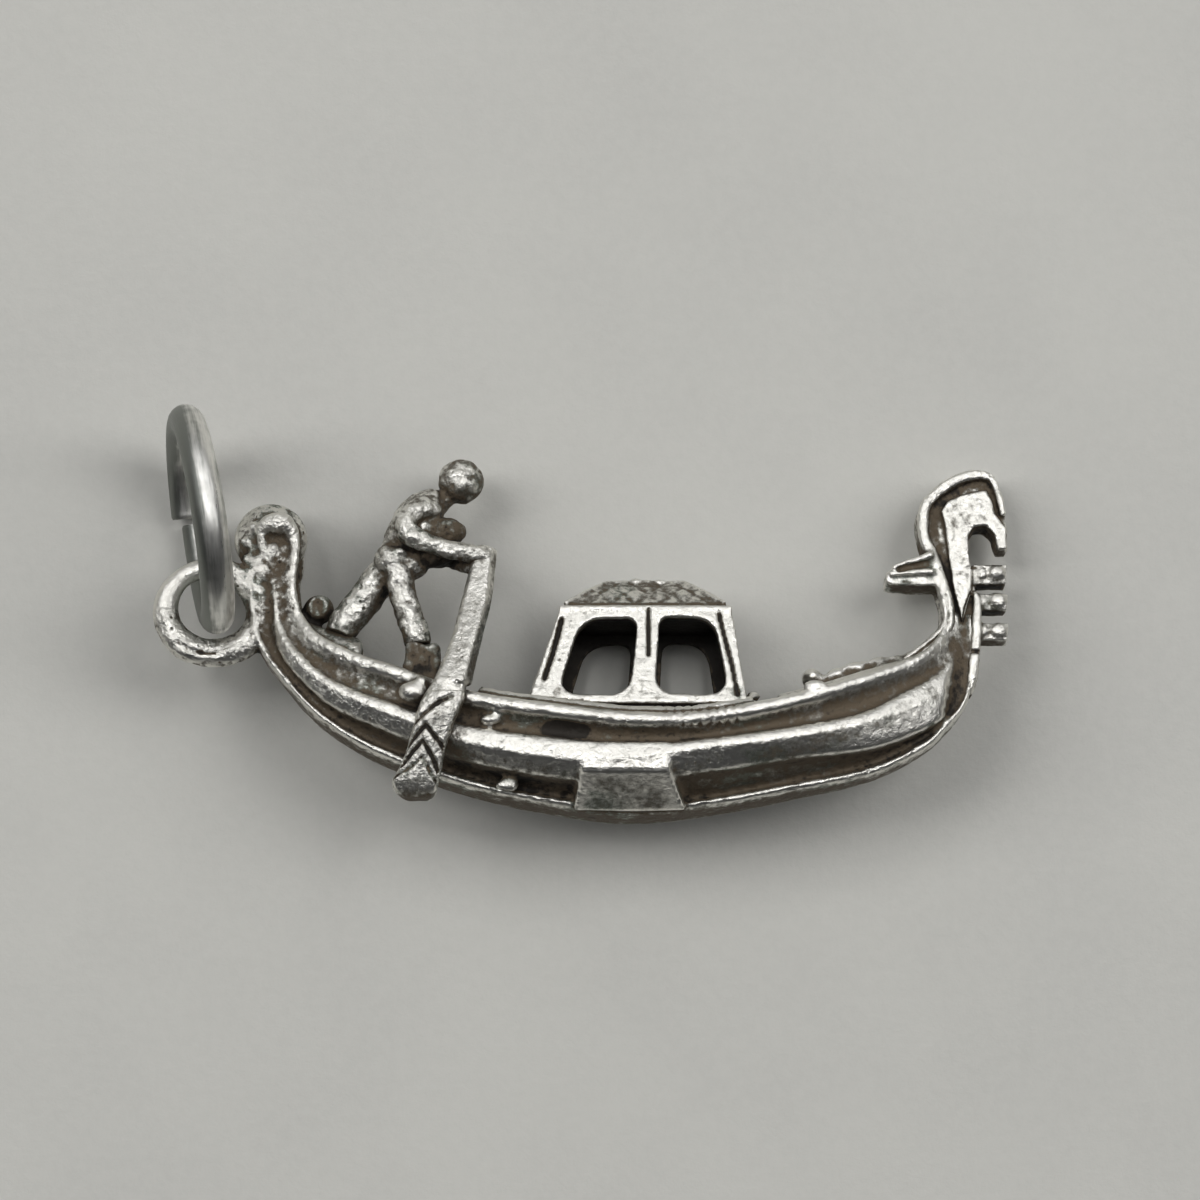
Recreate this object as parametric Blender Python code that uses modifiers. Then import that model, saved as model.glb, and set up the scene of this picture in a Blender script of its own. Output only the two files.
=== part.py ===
"""A cast silver gondola charm with its loop and jump ring, at its real size.

The boat is described upright in its own millimetres: x runs from stern to bow, n out to
starboard and h up from the keel. It is then laid on its port side, as such a charm rests.
"""

import math

import bmesh
import bpy
from mathutils import Matrix, Vector

MM = 0.001
GAP = 0.03

# How the charm lies: its upright axis leans down to the table by LEAN, on ball, gunwale and iron
LEAN = math.radians(14.5)

# Hull lines, stern to bow, in columns: rail x, rail h, rim x, rim h, half beam, half bottom
HULL_LINES = (
    (-10.40, 8.24, -11.74, 8.12, 0.95, 0.80),
    (-10.37, 7.80, -11.70, 7.46, 0.95, 0.80),
    (-10.30, 7.20, -11.62, 6.75, 0.95, 0.80),
    (-10.07, 6.60, -11.38, 5.82, 1.02, 0.80),
    (-9.50, 5.86, -10.75, 4.85, 1.33, 0.82),
    (-8.30, 5.14, -9.25, 3.25, 1.74, 0.84),
    (-6.60, 4.46, -7.25, 2.05, 2.17, 0.86),
    (-4.24, 3.56, -4.45, 1.02, 2.64, 0.88),
    (-1.63, 3.09, -1.60, 0.38, 2.92, 0.90),
    (1.00, 2.78, 1.00, 0.08, 3.00, 0.90),
    (3.25, 2.83, 3.50, 0.32, 2.93, 0.90),
    (5.87, 3.35, 6.30, 0.85, 2.66, 0.88),
    (8.21, 4.07, 9.00, 1.46, 2.13, 0.84),
    (9.91, 4.76, 10.75, 2.33, 1.58, 0.80),
    (10.75, 5.20, 11.45, 3.00, 1.26, 0.76),
    (11.25, 5.70, 11.82, 3.85, 1.02, 0.70),
    (11.52, 6.15, 11.98, 4.90, 0.90, 0.66),
    (11.60, 6.60, 12.04, 6.00, 0.85, 0.62),
)
STEPS_PER_LINE = 3

# Hull section: share of the way from rail to rim, and how far out, as shares and millimetres
WALL_DROP = 0.27
WALL_TOP_INSET = 0.15
WALL_THICK_TOP = 0.75
WALE_TOP = 0.29
WALE_FOOT = 0.67
WALL_AT_WALE_TOP = 0.83
WALL_AT_WALE_FOOT = 0.68
FLOOR_SHARE = 0.80
RIM_TOP = 0.90
RIM_OUT = 0.32
WALE_AFT = -10.2
WALE_FORE = 11.3

# Gunwale bead
BEAD_HALF = 0.22
BEAD_OUT = 0.06

# Stern ball, suspension loop and jump ring
BALL = (-11.15, 0.0, 9.58)
BALL_RADIUS = 1.27
LOOP = (-13.00, 0.76, 7.00)
LOOP_RADIUS = 1.57
LOOP_WIRE = 0.45
LOOP_FROM = math.radians(64)
LOOP_TO = math.radians(314)
LOOP_POINTS = 36
RING_RADIUS = 3.29
RING_WIRE = 0.55
RING_SWAY = 0.66
RING_SLANT = math.radians(7.7)
RING_TWIST = 0.155
RING_CUT = math.radians(2.0)
RING_POINTS = 72
RING_FROM_LOOP = (-0.22, 1.451, 1.52)

# Cabin: its sides lean in from the foot to the head, and its ends lean too
CABIN_OUT_FOOT = 2.48
CABIN_OUT_HEAD = 1.98
CABIN_WALL = 0.38
CABIN_FOOT = 3.58
CABIN_HEAD = 6.64
CABIN_AFT_FOOT = -2.38
CABIN_AFT_HEAD = -1.32
CABIN_FORE_FOOT = 4.84
CABIN_FORE_HEAD = 4.35
POST_FOOT = 0.42
POST_HEAD = 0.16
POST_SLOT = 0.10
ROOF_EAVE = 6.68
ROOF_RIDGE = 8.05
ROOF_OVER = 0.03
ROOF_THICK = 0.30
RIDGE_AFT = 0.30
RIDGE_FORE = 2.75
RIDGE_HALF = 0.30
COAMING_FOOT = 3.00
COAMING_OUT = 2.26

# Bare plate amidships
PLATE_AFT = -0.56
PLATE_FORE = 2.22

SILVER = (0.72, 0.70, 0.66, 1.0)
TARNISHED = (0.36, 0.32, 0.27, 1.0)
STEEL_GREY = (0.62, 0.63, 0.64, 1.0)


def clear_scene():
    for old in list(bpy.data.objects):
        bpy.data.objects.remove(old, do_unlink=True)


def material(name, colour, roughness):
    made = bpy.data.materials.get(name)
    if made:
        return made
    made = bpy.data.materials.new(name)
    made.use_nodes = True
    shader = made.node_tree.nodes["Principled BSDF"]
    shader.inputs["Base Color"].default_value = colour
    shader.inputs["Roughness"].default_value = roughness
    shader.inputs["Metallic"].default_value = 1.0
    made.diffuse_color = colour
    return made


def place(x, n, h):
    """A point of the boat in metres, under the empty that lays it down."""
    return Vector((x * MM, -n * MM, h * MM))


def new_object(name, data, parent, colour=SILVER, roughness=0.35):
    made = bpy.data.objects.new(name, data)
    parts.objects.link(made)
    made.parent = parent
    data.materials.append(material(name + "_finish", colour, roughness))
    return made


def mesh_object(name, shape, parent, colour=SILVER, roughness=0.35, smooth=40.0):
    bmesh.ops.recalc_face_normals(shape, faces=shape.faces[:])
    data = bpy.data.meshes.new(name)
    shape.to_mesh(data)
    shape.free()
    data.shade_smooth()
    data.set_sharp_from_angle(angle=math.radians(smooth))
    return new_object(name, data, parent, colour, roughness)


def hull_stations():
    """Smooth stations through the table of hull lines, each a dict of its columns."""
    names = ("rail_x", "rail_h", "rim_x", "rim_h", "beam", "foot")
    rows = [HULL_LINES[0], *HULL_LINES, HULL_LINES[-1]]
    made = []
    for i in range(1, len(rows) - 2):
        before, here, after, beyond = rows[i - 1: i + 3]
        for step in range(STEPS_PER_LINE):
            t = step / STEPS_PER_LINE
            values = []
            for a, b, c, d in zip(before, here, after, beyond):
                bend = (2 * a - 5 * b + 4 * c - d) * t * t
                turn = (3 * b - a - 3 * c + d) * t ** 3
                values.append(0.5 * (2 * b + (c - a) * t + bend + turn))
            made.append(dict(zip(names, values)))
    made.append(dict(zip(names, HULL_LINES[-1])))
    for row in made:
        row["depth"] = math.hypot(row["rim_x"] - row["rail_x"], row["rim_h"] - row["rail_h"])
    return made


def on_station(station, share, n, lift=0.0):
    """A point at a share of the way from rail to rim, n out and lift above it."""
    x = station["rail_x"] + share * (station["rim_x"] - station["rail_x"])
    h = station["rail_h"] + share * (station["rim_h"] - station["rail_h"])
    return place(x, n, h + lift)


def loft(name, stations, section, parent, colour=SILVER, roughness=0.35):
    """A closed body through the section that a function gives at each station."""
    shape = bmesh.new()
    rings = []
    for station in stations:
        rings.append([shape.verts.new(point) for point in section(station)])
    for ring, following in zip(rings, rings[1:]):
        count = len(ring)
        for i in range(count):
            j = (i + 1) % count
            shape.faces.new((ring[i], ring[j], following[j], following[i]))
    shape.faces.new(rings[0])
    shape.faces.new(rings[-1])
    return mesh_object(name, shape, parent, colour, roughness)


def between(stations, x_from, x_to):
    """The stations from one place to another along the rail, with one cut at each of the two."""
    made = []
    for before, after in zip(stations, stations[1:]):
        for x in (x_from, before["rail_x"], x_to):
            if x_from <= x <= x_to and before["rail_x"] <= x < after["rail_x"]:
                share = (x - before["rail_x"]) / (after["rail_x"] - before["rail_x"])
                made.append({key: before[key] + share * (after[key] - before[key]) for key in before})
    return [row for i, row in enumerate(made) if i == 0 or row["rail_x"] - made[i - 1]["rail_x"] > 0.01]


def flat(name, outlines, n_middle, thickness, parent, colour=SILVER, bevel=0.0):
    """A plate in the boat's upright plane: the first outline, with the others cut from it."""
    data = bpy.data.curves.new(name, "CURVE")
    data.dimensions = "2D"
    data.fill_mode = "BOTH"
    data.extrude = thickness / 2 * MM
    for outline in outlines:
        spline = data.splines.new("POLY")
        spline.points.add(len(outline) - 1)
        for point, (x, h) in zip(spline.points, outline):
            point.co = (x * MM, h * MM, 0.0, 1.0)
        spline.use_cyclic_u = True
    made = new_object(name, data, parent, colour)
    made.rotation_euler = (math.radians(90), 0.0, 0.0)
    made.location = place(0.0, n_middle, 0.0)
    if bevel:
        soften(made, bevel)
    return made


def soften(made, width, segments=2):
    weld = made.modifiers.new("weld_caps", "WELD")
    weld.merge_threshold = 0.000001
    edge = made.modifiers.new("soft_edges", "BEVEL")
    edge.width = width * MM
    edge.segments = segments
    edge.limit_method = "ANGLE"
    edge.angle_limit = math.radians(35)


def tube(name, points, parent, colour=SILVER, resolution=3, deep=1.0):
    """A bar through points given as x, n, h and radius, deep times as thick along n."""
    data = bpy.data.curves.new(name, "CURVE")
    data.dimensions = "3D"
    data.bevel_depth = MM
    data.bevel_resolution = resolution
    data.use_fill_caps = True
    spline = data.splines.new("POLY")
    spline.points.add(len(points) - 1)
    for point, (x, n, h, radius) in zip(spline.points, points):
        point.co = (*place(x, n / deep, h), 1.0)
        point.radius = radius
    made = new_object(name, data, parent, colour)
    made.scale.y = deep
    return made


def smooth_path(points, steps=5):
    """More points on a smooth curve through a few."""
    rows = [points[0], *points, points[-1]]
    made = []
    for i in range(1, len(rows) - 2):
        for step in range(steps):
            t = step / steps
            row = []
            for a, b, c, d in zip(*rows[i - 1: i + 3]):
                bend = (2 * a - 5 * b + 4 * c - d) * t * t
                turn = (3 * b - a - 3 * c + d) * t ** 3
                row.append(0.5 * (2 * b + (c - a) * t + bend + turn))
            made.append(tuple(row))
    made.append(tuple(points[-1]))
    return made


def rounded(corners, radius, steps=3):
    """An outline with each corner turned on an arc."""
    made = []
    count = len(corners)
    for i in range(count):
        corner = Vector(corners[i])
        back = (Vector(corners[i - 1]) - corner).normalized()
        ahead = (Vector(corners[(i + 1) % count]) - corner).normalized()
        start = corner + back * radius
        stop = corner + ahead * radius
        for step in range(steps + 1):
            t = step / steps
            made.append(tuple((1 - t) ** 2 * start + 2 * t * (1 - t) * corner + t * t * stop))
    return made


def ball(name, centre, radius, parent, colour=SILVER, stretch=(1.0, 1.0, 1.0), segments=20):
    shape = bmesh.new()
    bmesh.ops.create_uvsphere(shape, u_segments=segments, v_segments=segments // 2, radius=radius * MM)
    bmesh.ops.scale(shape, vec=stretch, verts=shape.verts)
    made = mesh_object(name, shape, parent, colour)
    made.location = place(*centre)
    return made


def hull_section(row):
    """Starboard from the top edge down to the rim, then back up the inside, and mirrored."""
    beam = row["beam"]
    foot = row["foot"]
    top = WALL_DROP / row["depth"]
    inner_top = max(beam - WALL_THICK_TOP, 0.12)
    half = (
        (FLOOR_SHARE, max(foot - 0.35, 0.08)),
        (top, inner_top),
        (top, beam - WALL_TOP_INSET),
        (WALE_TOP, WALL_AT_WALE_TOP * beam),
        (WALE_FOOT, max(WALL_AT_WALE_FOOT * beam, foot - 0.1)),
        (RIM_TOP - 0.03, foot + 0.05),
        (RIM_TOP, foot + RIM_OUT - 0.12),
        (1.0, foot + RIM_OUT - 0.2),
        (1.04, foot - 0.3),
    )
    starboard = [on_station(row, share, n) for share, n in half]
    port = [on_station(row, share, -n) for share, n in reversed(half)]
    return starboard + port


def gunwale_section(side):
    def section(row):
        beam = row["beam"]
        ring = []
        for i in range(8):
            turn = math.radians(22.5 + 45 * i)
            wide = 0.27 * math.cos(turn) / math.cos(math.radians(22.5))
            tall = BEAD_HALF * math.sin(turn) / math.cos(math.radians(22.5))
            n = beam + BEAD_OUT - 0.27 + wide
            ring.append(on_station(row, -tall / row["depth"], side * n))
        return ring
    return section


def wale_section(side):
    def section(row):
        beam = row["beam"]
        foot = row["foot"]
        low_wall = max(WALL_AT_WALE_FOOT * beam, foot - 0.1)
        ring = (
            (WALE_TOP + 0.02, WALL_AT_WALE_TOP * beam + 2 * GAP),
            (WALE_TOP + 0.02, 0.93 * beam + 0.05),
            (0.42, 0.945 * beam + 0.06),
            (0.56, 0.90 * beam + 0.06),
            (WALE_FOOT - 0.01, max(0.80 * beam, low_wall + 0.16)),
            (WALE_FOOT - 0.01, low_wall + 2 * GAP),
        )
        return [on_station(row, share, side * n) for share, n in ring]
    return section


def make_hull(boat, stations):
    loft("hull_shell", stations, hull_section, boat)
    for side, word in ((1, "starboard"), (-1, "port")):
        loft("gunwale_" + word, stations[1:-1], gunwale_section(side), boat)
    plate_aft = PLATE_AFT - 3 * GAP
    plate_fore = PLATE_FORE + 3 * GAP
    loft("wale_port", between(stations, WALE_AFT, WALE_FORE), wale_section(-1), boat)
    loft("wale_starboard_aft", between(stations, WALE_AFT, plate_aft), wale_section(1), boat)
    loft("wale_starboard_fore", between(stations, plate_fore, WALE_FORE), wale_section(1), boat)


def make_mark_plate(boat):
    """The bare plate amidships on the starboard side: an upright face over a sloping one."""
    # Corners in columns: n, h, how far each end flares beyond the upright face
    corners = ((2.86, 1.98, 0.0), (2.86, 1.02, 0.05), (1.50, 0.34, 0.45), (2.14, 1.02, 0.05), (2.54, 1.98, 0.0))

    def plate_section(end):
        return [place(end["x"] + end["flare"] * flare, n, h) for n, h, flare in corners]

    loft("mark_plate", ({"x": PLATE_AFT, "flare": -0.5}, {"x": PLATE_FORE, "flare": 1.0}), plate_section, boat)


def make_stern(boat, stations):
    ball("stern_ball", BALL, BALL_RADIUS, boat, segments=24)
    loop_points = []
    for i in range(LOOP_POINTS + 1):
        turn = LOOP_FROM + (LOOP_TO - LOOP_FROM) * i / LOOP_POINTS
        loop_points.append((LOOP[0] + LOOP_RADIUS * math.cos(turn), LOOP[1],
                            LOOP[2] + LOOP_RADIUS * math.sin(turn), LOOP_WIRE))
    tube("suspension_loop", loop_points, boat)
    deck = between(stations, -10.1, -7.9)

    def deck_section(row):
        beam = row["beam"] - 0.52
        crown = 1.05 - 0.35 * max(0.0, -8.7 - row["rail_x"])
        ring = []
        for n, lift in ((-1, 0.0), (-0.9, 0.42), (-0.5, 0.8), (0.5, 0.8), (0.9, 0.42), (1, 0.0)):
            ring.append(on_station(row, 0.0, n * max(beam, 0.3), lift * crown))
        for n in (0.9, -0.9):
            ring.append(on_station(row, 0.10, n * 0.2, 0.0))
        return ring

    loft("stern_deck", deck, deck_section, boat)
    ball("deck_knob", (-9.5, 0.0, 7.22), 0.46, boat, TARNISHED, segments=14)


def make_figure(boat):
    """The rower: bars thicker across the boat than along it, leaning on the oar."""
    torso = ((-7.12, 0.75, 8.05, 0.66), (-6.85, 0.75, 8.70, 0.72), (-6.35, 0.75, 9.60, 0.86),
             (-6.05, 0.75, 10.25, 0.82), (-5.60, 0.75, 10.80, 0.42))
    tube("figure_torso", smooth_path(torso, 4), boat, resolution=4, deep=1.1)
    ball("figure_head", (-4.72, 0.72, 11.42), 0.78, boat, segments=18)
    leg_back = ((-7.48, 0.42, 7.80, 0.48), (-8.05, 0.42, 7.15, 0.50), (-8.72, 0.42, 6.34, 0.44))
    tube("figure_leg_back", smooth_path(leg_back, 3), boat, deep=1.1)
    leg_front = ((-6.62, 1.05, 7.50, 0.40), (-6.42, 1.05, 6.95, 0.41), (-6.20, 1.05, 6.06, 0.38))
    tube("figure_leg_front", smooth_path(leg_front, 3), boat, deep=1.1)
    arm_near = ((-6.05, 2.02, 10.15, 0.24), (-6.52, 2.04, 9.62, 0.28), (-6.30, 2.04, 9.05, 0.29),
                (-5.45, 1.98, 8.68, 0.26), (-4.52, 1.84, 8.62, 0.25))
    tube("figure_arm_starboard", smooth_path(arm_near, 3), boat)
    arm_far = ((-5.40, 0.10, 9.15, 0.26), (-5.05, 0.40, 8.85, 0.24), (-4.45, 0.95, 8.62, 0.23))
    tube("figure_arm_port", smooth_path(arm_far, 3), boat)
    step = ((-6.55, 4.22), (-5.35, 4.07), (-5.28, 5.76), (-6.50, 5.80))
    flat("figure_step", [step], 0.95, 1.1, boat, TARNISHED, bevel=0.08)


def make_oar(boat):
    shaft = ((-3.98, 1.55, 8.98, 0.40), (-4.08, 1.82, 7.80, 0.34), (-4.32, 2.28, 6.55, 0.37),
             (-4.62, 2.78, 5.08, 0.42), (-4.90, 3.12, 4.02, 0.46))
    tube("oar_shaft", smooth_path(shaft, 4), boat)
    blade = ((-4.97, 3.13, 3.76, 0.48), (-5.32, 3.02, 2.70, 0.58), (-5.66, 2.85, 1.66, 0.62),
             (-5.92, 2.72, 0.82, 0.74))
    tube("oar_blade", smooth_path(blade, 4), boat)
    ball("oarlock", (-6.2, 2.9, 3.75), 0.42, boat, segments=14)


def make_cabin(boat):
    tall = CABIN_HEAD - CABIN_FOOT
    lean_in = math.atan2(CABIN_OUT_FOOT - CABIN_OUT_HEAD, tall)
    slope = tall / math.cos(lean_in) - 2 * GAP
    panel = (
        (CABIN_AFT_FOOT + POST_FOOT + POST_SLOT, 0.0),
        (CABIN_FORE_FOOT - POST_FOOT / 2 - POST_SLOT, 0.0),
        (CABIN_FORE_HEAD - POST_HEAD - POST_SLOT, slope),
        (CABIN_AFT_HEAD + POST_HEAD + POST_SLOT, slope),
    )
    aft_window = rounded(((-1.36, 0.11), (0.94, 0.11), (1.23, 2.80), (-0.72, 2.80)), 0.62)
    fore_window = rounded(((1.84, 0.11), (4.26, 0.11), (3.81, 2.80), (1.96, 2.80)), 0.55)
    # Posts in columns: word, foot from, foot to, head from, head to
    posts = (
        ("aft", CABIN_AFT_FOOT, CABIN_AFT_FOOT + POST_FOOT, CABIN_AFT_HEAD, CABIN_AFT_HEAD + POST_HEAD),
        ("fore", CABIN_FORE_FOOT - POST_FOOT / 2, CABIN_FORE_FOOT, CABIN_FORE_HEAD - POST_HEAD, CABIN_FORE_HEAD),
    )
    for side, word in ((1, "starboard"), (-1, "port")):
        plates = [("cabin_side_" + word, [panel, aft_window, fore_window])]
        for end, foot_from, foot_to, head_from, head_to in posts:
            outline = ((foot_from, 0.0), (foot_to, 0.0), (head_to, slope), (head_from, slope))
            plates.append(("cabin_post_" + end + "_" + word, [outline]))
        for name, outlines in plates:
            made = flat(name, outlines, 0.0, CABIN_WALL, boat)
            made.rotation_euler.x = math.radians(90) - side * lean_in
            made.location = place(0.0, side * (CABIN_OUT_FOOT - CABIN_WALL / 2), CABIN_FOOT + 2 * GAP)

    # End walls with a door opening, each leaning as the posts do
    foot_half = CABIN_OUT_FOOT - CABIN_WALL - 0.1
    head_half = CABIN_OUT_HEAD - CABIN_WALL - 0.1
    ends = (
        ("aft", CABIN_AFT_FOOT + 0.25, CABIN_AFT_HEAD + 0.2),
        ("fore", CABIN_FORE_FOOT - 0.2, CABIN_FORE_HEAD - 0.2),
    )
    for end, foot_x, head_x in ends:
        lean = math.atan2(head_x - foot_x, tall)
        high = math.hypot(head_x - foot_x, tall) - 0.08
        wall = ((-foot_half, 0.0), (foot_half, 0.0), (head_half, high), (-head_half, high))
        door = rounded(((-1.0, 0.35), (1.0, 0.35), (0.9, high - 0.45), (-0.9, high - 0.45)), 0.4)
        made = flat("cabin_end_" + end, [wall, door], 0.0, 0.26, boat)
        across = Matrix.Rotation(math.radians(90), 4, "Z") @ Matrix.Rotation(math.radians(90), 4, "X")
        foot_line = Matrix.Translation(place(foot_x, 0.0, CABIN_FOOT + GAP))
        made.matrix_local = foot_line @ Matrix.Rotation(lean, 4, "Y") @ across

    coaming = ((-2.5, -COAMING_OUT), (4.95, -COAMING_OUT), (4.95, COAMING_OUT), (-2.5, COAMING_OUT))
    well = ((-1.9, -1.75), (4.4, -1.75), (4.4, 1.75), (-1.9, 1.75))
    made = flat("cabin_coaming", [coaming, well], 0.0, CABIN_FOOT - COAMING_FOOT - GAP, boat)
    made.rotation_euler = (0.0, 0.0, 0.0)
    made.location = place(0.0, 0.0, (CABIN_FOOT + COAMING_FOOT - GAP) / 2)
    make_roof(boat)


def frustum(base, top, h_base, h_top):
    """A box whose upper rectangle differs from its lower one: x from, x to, half width."""
    shape = bmesh.new()
    bmesh.ops.create_cube(shape, size=2.0)
    for corner in shape.verts:
        x_from, x_to, half = base if corner.co.z < 0 else top
        x = x_from if corner.co.x < 0 else x_to
        n = half if corner.co.y < 0 else -half
        h = h_base if corner.co.z < 0 else h_top
        corner.co = place(x, n, h)
    return shape


def make_roof(boat):
    base = (CABIN_AFT_HEAD - ROOF_OVER, CABIN_FORE_HEAD + ROOF_OVER, CABIN_OUT_HEAD + ROOF_OVER)
    top = (RIDGE_AFT, RIDGE_FORE, RIDGE_HALF)
    roof = mesh_object("cabin_roof", frustum(base, top, ROOF_EAVE, ROOF_RIDGE), boat, TARNISHED)
    inner_base = (base[0] + 0.4, base[1] - 0.4, base[2] - 0.4)
    inner_top = (RIDGE_AFT + 0.2, RIDGE_FORE - 0.2, RIDGE_HALF - 0.2)
    hollow = mesh_object("roof_hollow", frustum(inner_base, inner_top, ROOF_EAVE - 0.3, ROOF_RIDGE - ROOF_THICK), boat)
    parts.objects.unlink(hollow)
    cutters.objects.link(hollow)
    hollow.hide_render = True
    hollow.display_type = "WIRE"
    cut = roof.modifiers.new("hollow", "BOOLEAN")
    cut.object = hollow
    cut.solver = "EXACT"


def make_foredeck(boat, stations):
    deck = between(stations, 5.8, 10.9)

    def deck_section(row):
        beam = max(row["beam"] - 0.52, 0.3)
        crown = 1.0 - 0.15 * max(0.0, row["rail_x"] - 8.7)
        ring = []
        for n, lift in ((-1, 0.02), (-0.8, 0.35), (-0.3, 0.62), (0.3, 0.62), (0.8, 0.35), (1, 0.02)):
            ring.append(on_station(row, 0.0, n * beam, lift * crown))
        for n in (0.9, -0.9):
            ring.append(on_station(row, 0.10, n * beam * 0.5, 0.0))
        return ring

    loft("foredeck", deck, deck_section, boat)
    crest = ((7.78, 0.0, 4.88, 0.26), (8.70, 0.0, 5.22, 0.26), (9.40, 0.0, 5.44, 0.24),
             (10.07, 0.0, 5.62, 0.21), (10.60, 0.0, 5.85, 0.18))
    tube("foredeck_crest", smooth_path(crest, 3), boat, TARNISHED, resolution=2)
    ball("foredeck_ball", (7.22, 0.0, 4.76), 0.36, boat, TARNISHED, segments=14)


def make_bow_iron(boat):
    head = (
        (12.08, 6.06), (11.64, 6.66), (11.62, 7.05), (11.46, 7.65), (11.22, 8.14), (11.20, 8.62),
        (10.93, 9.05), (10.70, 9.60), (10.64, 10.14), (10.91, 10.66), (11.43, 11.3), (12.15, 11.81),
        (12.77, 11.95), (13.27, 11.91), (13.53, 11.57), (13.70, 10.94), (13.78, 9.79), (13.76, 8.92),
        (13.34, 8.97), (13.26, 9.51), (12.98, 9.82), (12.66, 9.78), (12.48, 9.38), (12.56, 8.63),
        (12.62, 8.02), (12.12, 7.9), (12.1, 7.2),
    )
    flat("bow_iron_head", [head], 0.0, 1.30, boat, bevel=0.10)
    stem = ((12.16, 7.86), (12.64, 7.96), (12.76, 7.3), (12.78, 6.2), (12.74, 5.5), (12.58, 4.7),
            (12.28, 4.02), (11.98, 3.9), (12.12, 4.9), (12.15, 6.0))
    flat("bow_iron_stem", [stem], 0.0, 1.2, boat, bevel=0.08)
    barb = ((11.17, 8.60), (10.5, 8.74), (9.85, 8.46), (9.52, 8.18), (9.58, 7.92), (10.64, 7.92),
            (11.05, 7.86), (11.30, 7.74), (11.18, 8.1))
    flat("bow_iron_barb", [barb], 0.0, 1.9, boat, bevel=0.08)
    # Teeth in columns: word, root x, tip x, foot h, head h
    teeth = (("upper", 12.68, 13.67, 8.02, 8.58), ("middle", 12.80, 13.70, 7.09, 7.58), ("lower", 12.81, 13.68, 6.08, 6.54))
    for word, root, tip, low, high in teeth:
        flat("bow_iron_tooth_" + word, [((root, low), (tip, low), (tip, high), (root, high))], 0.0, 1.1, boat, bevel=0.07)


def make_jump_ring(boat):
    """The open ring that hangs in the loop, on an empty at the middle of the loop's upper wire."""
    pivot = bpy.data.objects.new("ring_pivot", None)
    parts.objects.link(pivot)
    pivot.parent = boat
    pivot.location = place(LOOP[0], LOOP[1], LOOP[2] + LOOP_RADIUS)
    pivot.rotation_euler = (math.radians(90) + LEAN, 0.0, 0.0)
    data = bpy.data.curves.new("jump_ring", "CURVE")
    data.dimensions = "3D"
    data.bevel_depth = RING_WIRE * MM
    data.bevel_resolution = 3
    data.use_fill_caps = True
    spline = data.splines.new("POLY")
    spline.points.add(RING_POINTS)
    centre = Vector(RING_FROM_LOOP)
    for i, point in enumerate(spline.points):
        share = i / RING_POINTS
        turn = RING_CUT + (2 * math.pi - 2 * RING_CUT) * share
        along = RING_RADIUS * math.sin(turn)
        up = -math.sqrt(RING_RADIUS ** 2 - RING_SWAY ** 2) * math.cos(turn)
        sway = -RING_SWAY * math.cos(turn) + RING_TWIST * (2 * share - 1)
        offset = Vector((sway - along * math.sin(RING_SLANT), along * math.cos(RING_SLANT), up))
        point.co = (*((centre + offset) * MM), 1.0)
    made = new_object("jump_ring", data, pivot, STEEL_GREY, 0.25)
    return made


def rest_on_table(boat):
    """Lay the boat on its port side and put the middle of its box, at the bottom, on the origin."""
    bpy.context.view_layer.update()
    graph = bpy.context.evaluated_depsgraph_get()
    low = Vector((1e9, 1e9, 1e9))
    high = Vector((-1e9, -1e9, -1e9))
    for part in parts.objects:
        if part.type not in {"MESH", "CURVE"}:
            continue
        shown = part.evaluated_get(graph)
        data = shown.to_mesh()
        for vertex in data.vertices:
            point = part.matrix_world @ vertex.co
            for axis in range(3):
                low[axis] = min(low[axis], point[axis])
                high[axis] = max(high[axis], point[axis])
        shown.to_mesh_clear()
    boat.location = (-(low.x + high.x) / 2, -(low.y + high.y) / 2, -low.z)
    bpy.context.view_layer.update()


clear_scene()
parts = bpy.data.collections.new("gondola_charm")
cutters = bpy.data.collections.new("cutters")
bpy.context.scene.collection.children.link(parts)
bpy.context.scene.collection.children.link(cutters)
charm = bpy.data.objects.new("boat_frame", None)
parts.objects.link(charm)
charm.rotation_euler = (-(math.radians(90) + LEAN), 0.0, 0.0)

lines = hull_stations()
make_hull(charm, lines)
make_mark_plate(charm)
make_stern(charm, lines)
make_figure(charm)
make_oar(charm)
make_cabin(charm)
make_foredeck(charm, lines)
make_bow_iron(charm)
make_jump_ring(charm)
rest_on_table(charm)
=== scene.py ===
import math

import bmesh
import bpy
from mathutils import Matrix, Vector, noise
from mathutils.bvhtree import BVHTree


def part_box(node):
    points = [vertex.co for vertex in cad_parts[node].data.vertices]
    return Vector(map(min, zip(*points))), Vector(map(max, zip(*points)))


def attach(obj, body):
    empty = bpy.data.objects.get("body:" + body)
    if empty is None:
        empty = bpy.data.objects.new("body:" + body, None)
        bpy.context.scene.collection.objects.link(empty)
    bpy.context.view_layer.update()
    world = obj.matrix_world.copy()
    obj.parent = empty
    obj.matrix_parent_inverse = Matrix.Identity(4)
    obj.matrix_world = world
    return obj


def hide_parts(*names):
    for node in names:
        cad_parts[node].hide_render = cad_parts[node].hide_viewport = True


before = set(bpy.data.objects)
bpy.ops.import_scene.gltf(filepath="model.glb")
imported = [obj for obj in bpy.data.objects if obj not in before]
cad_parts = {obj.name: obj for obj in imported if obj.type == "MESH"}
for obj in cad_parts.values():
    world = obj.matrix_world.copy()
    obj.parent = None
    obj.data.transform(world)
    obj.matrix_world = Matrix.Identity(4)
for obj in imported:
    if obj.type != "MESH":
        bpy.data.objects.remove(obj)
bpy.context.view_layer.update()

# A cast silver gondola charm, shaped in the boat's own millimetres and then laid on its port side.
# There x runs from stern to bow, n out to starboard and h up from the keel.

MM = 0.001
LEAN = math.radians(14.5)

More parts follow.
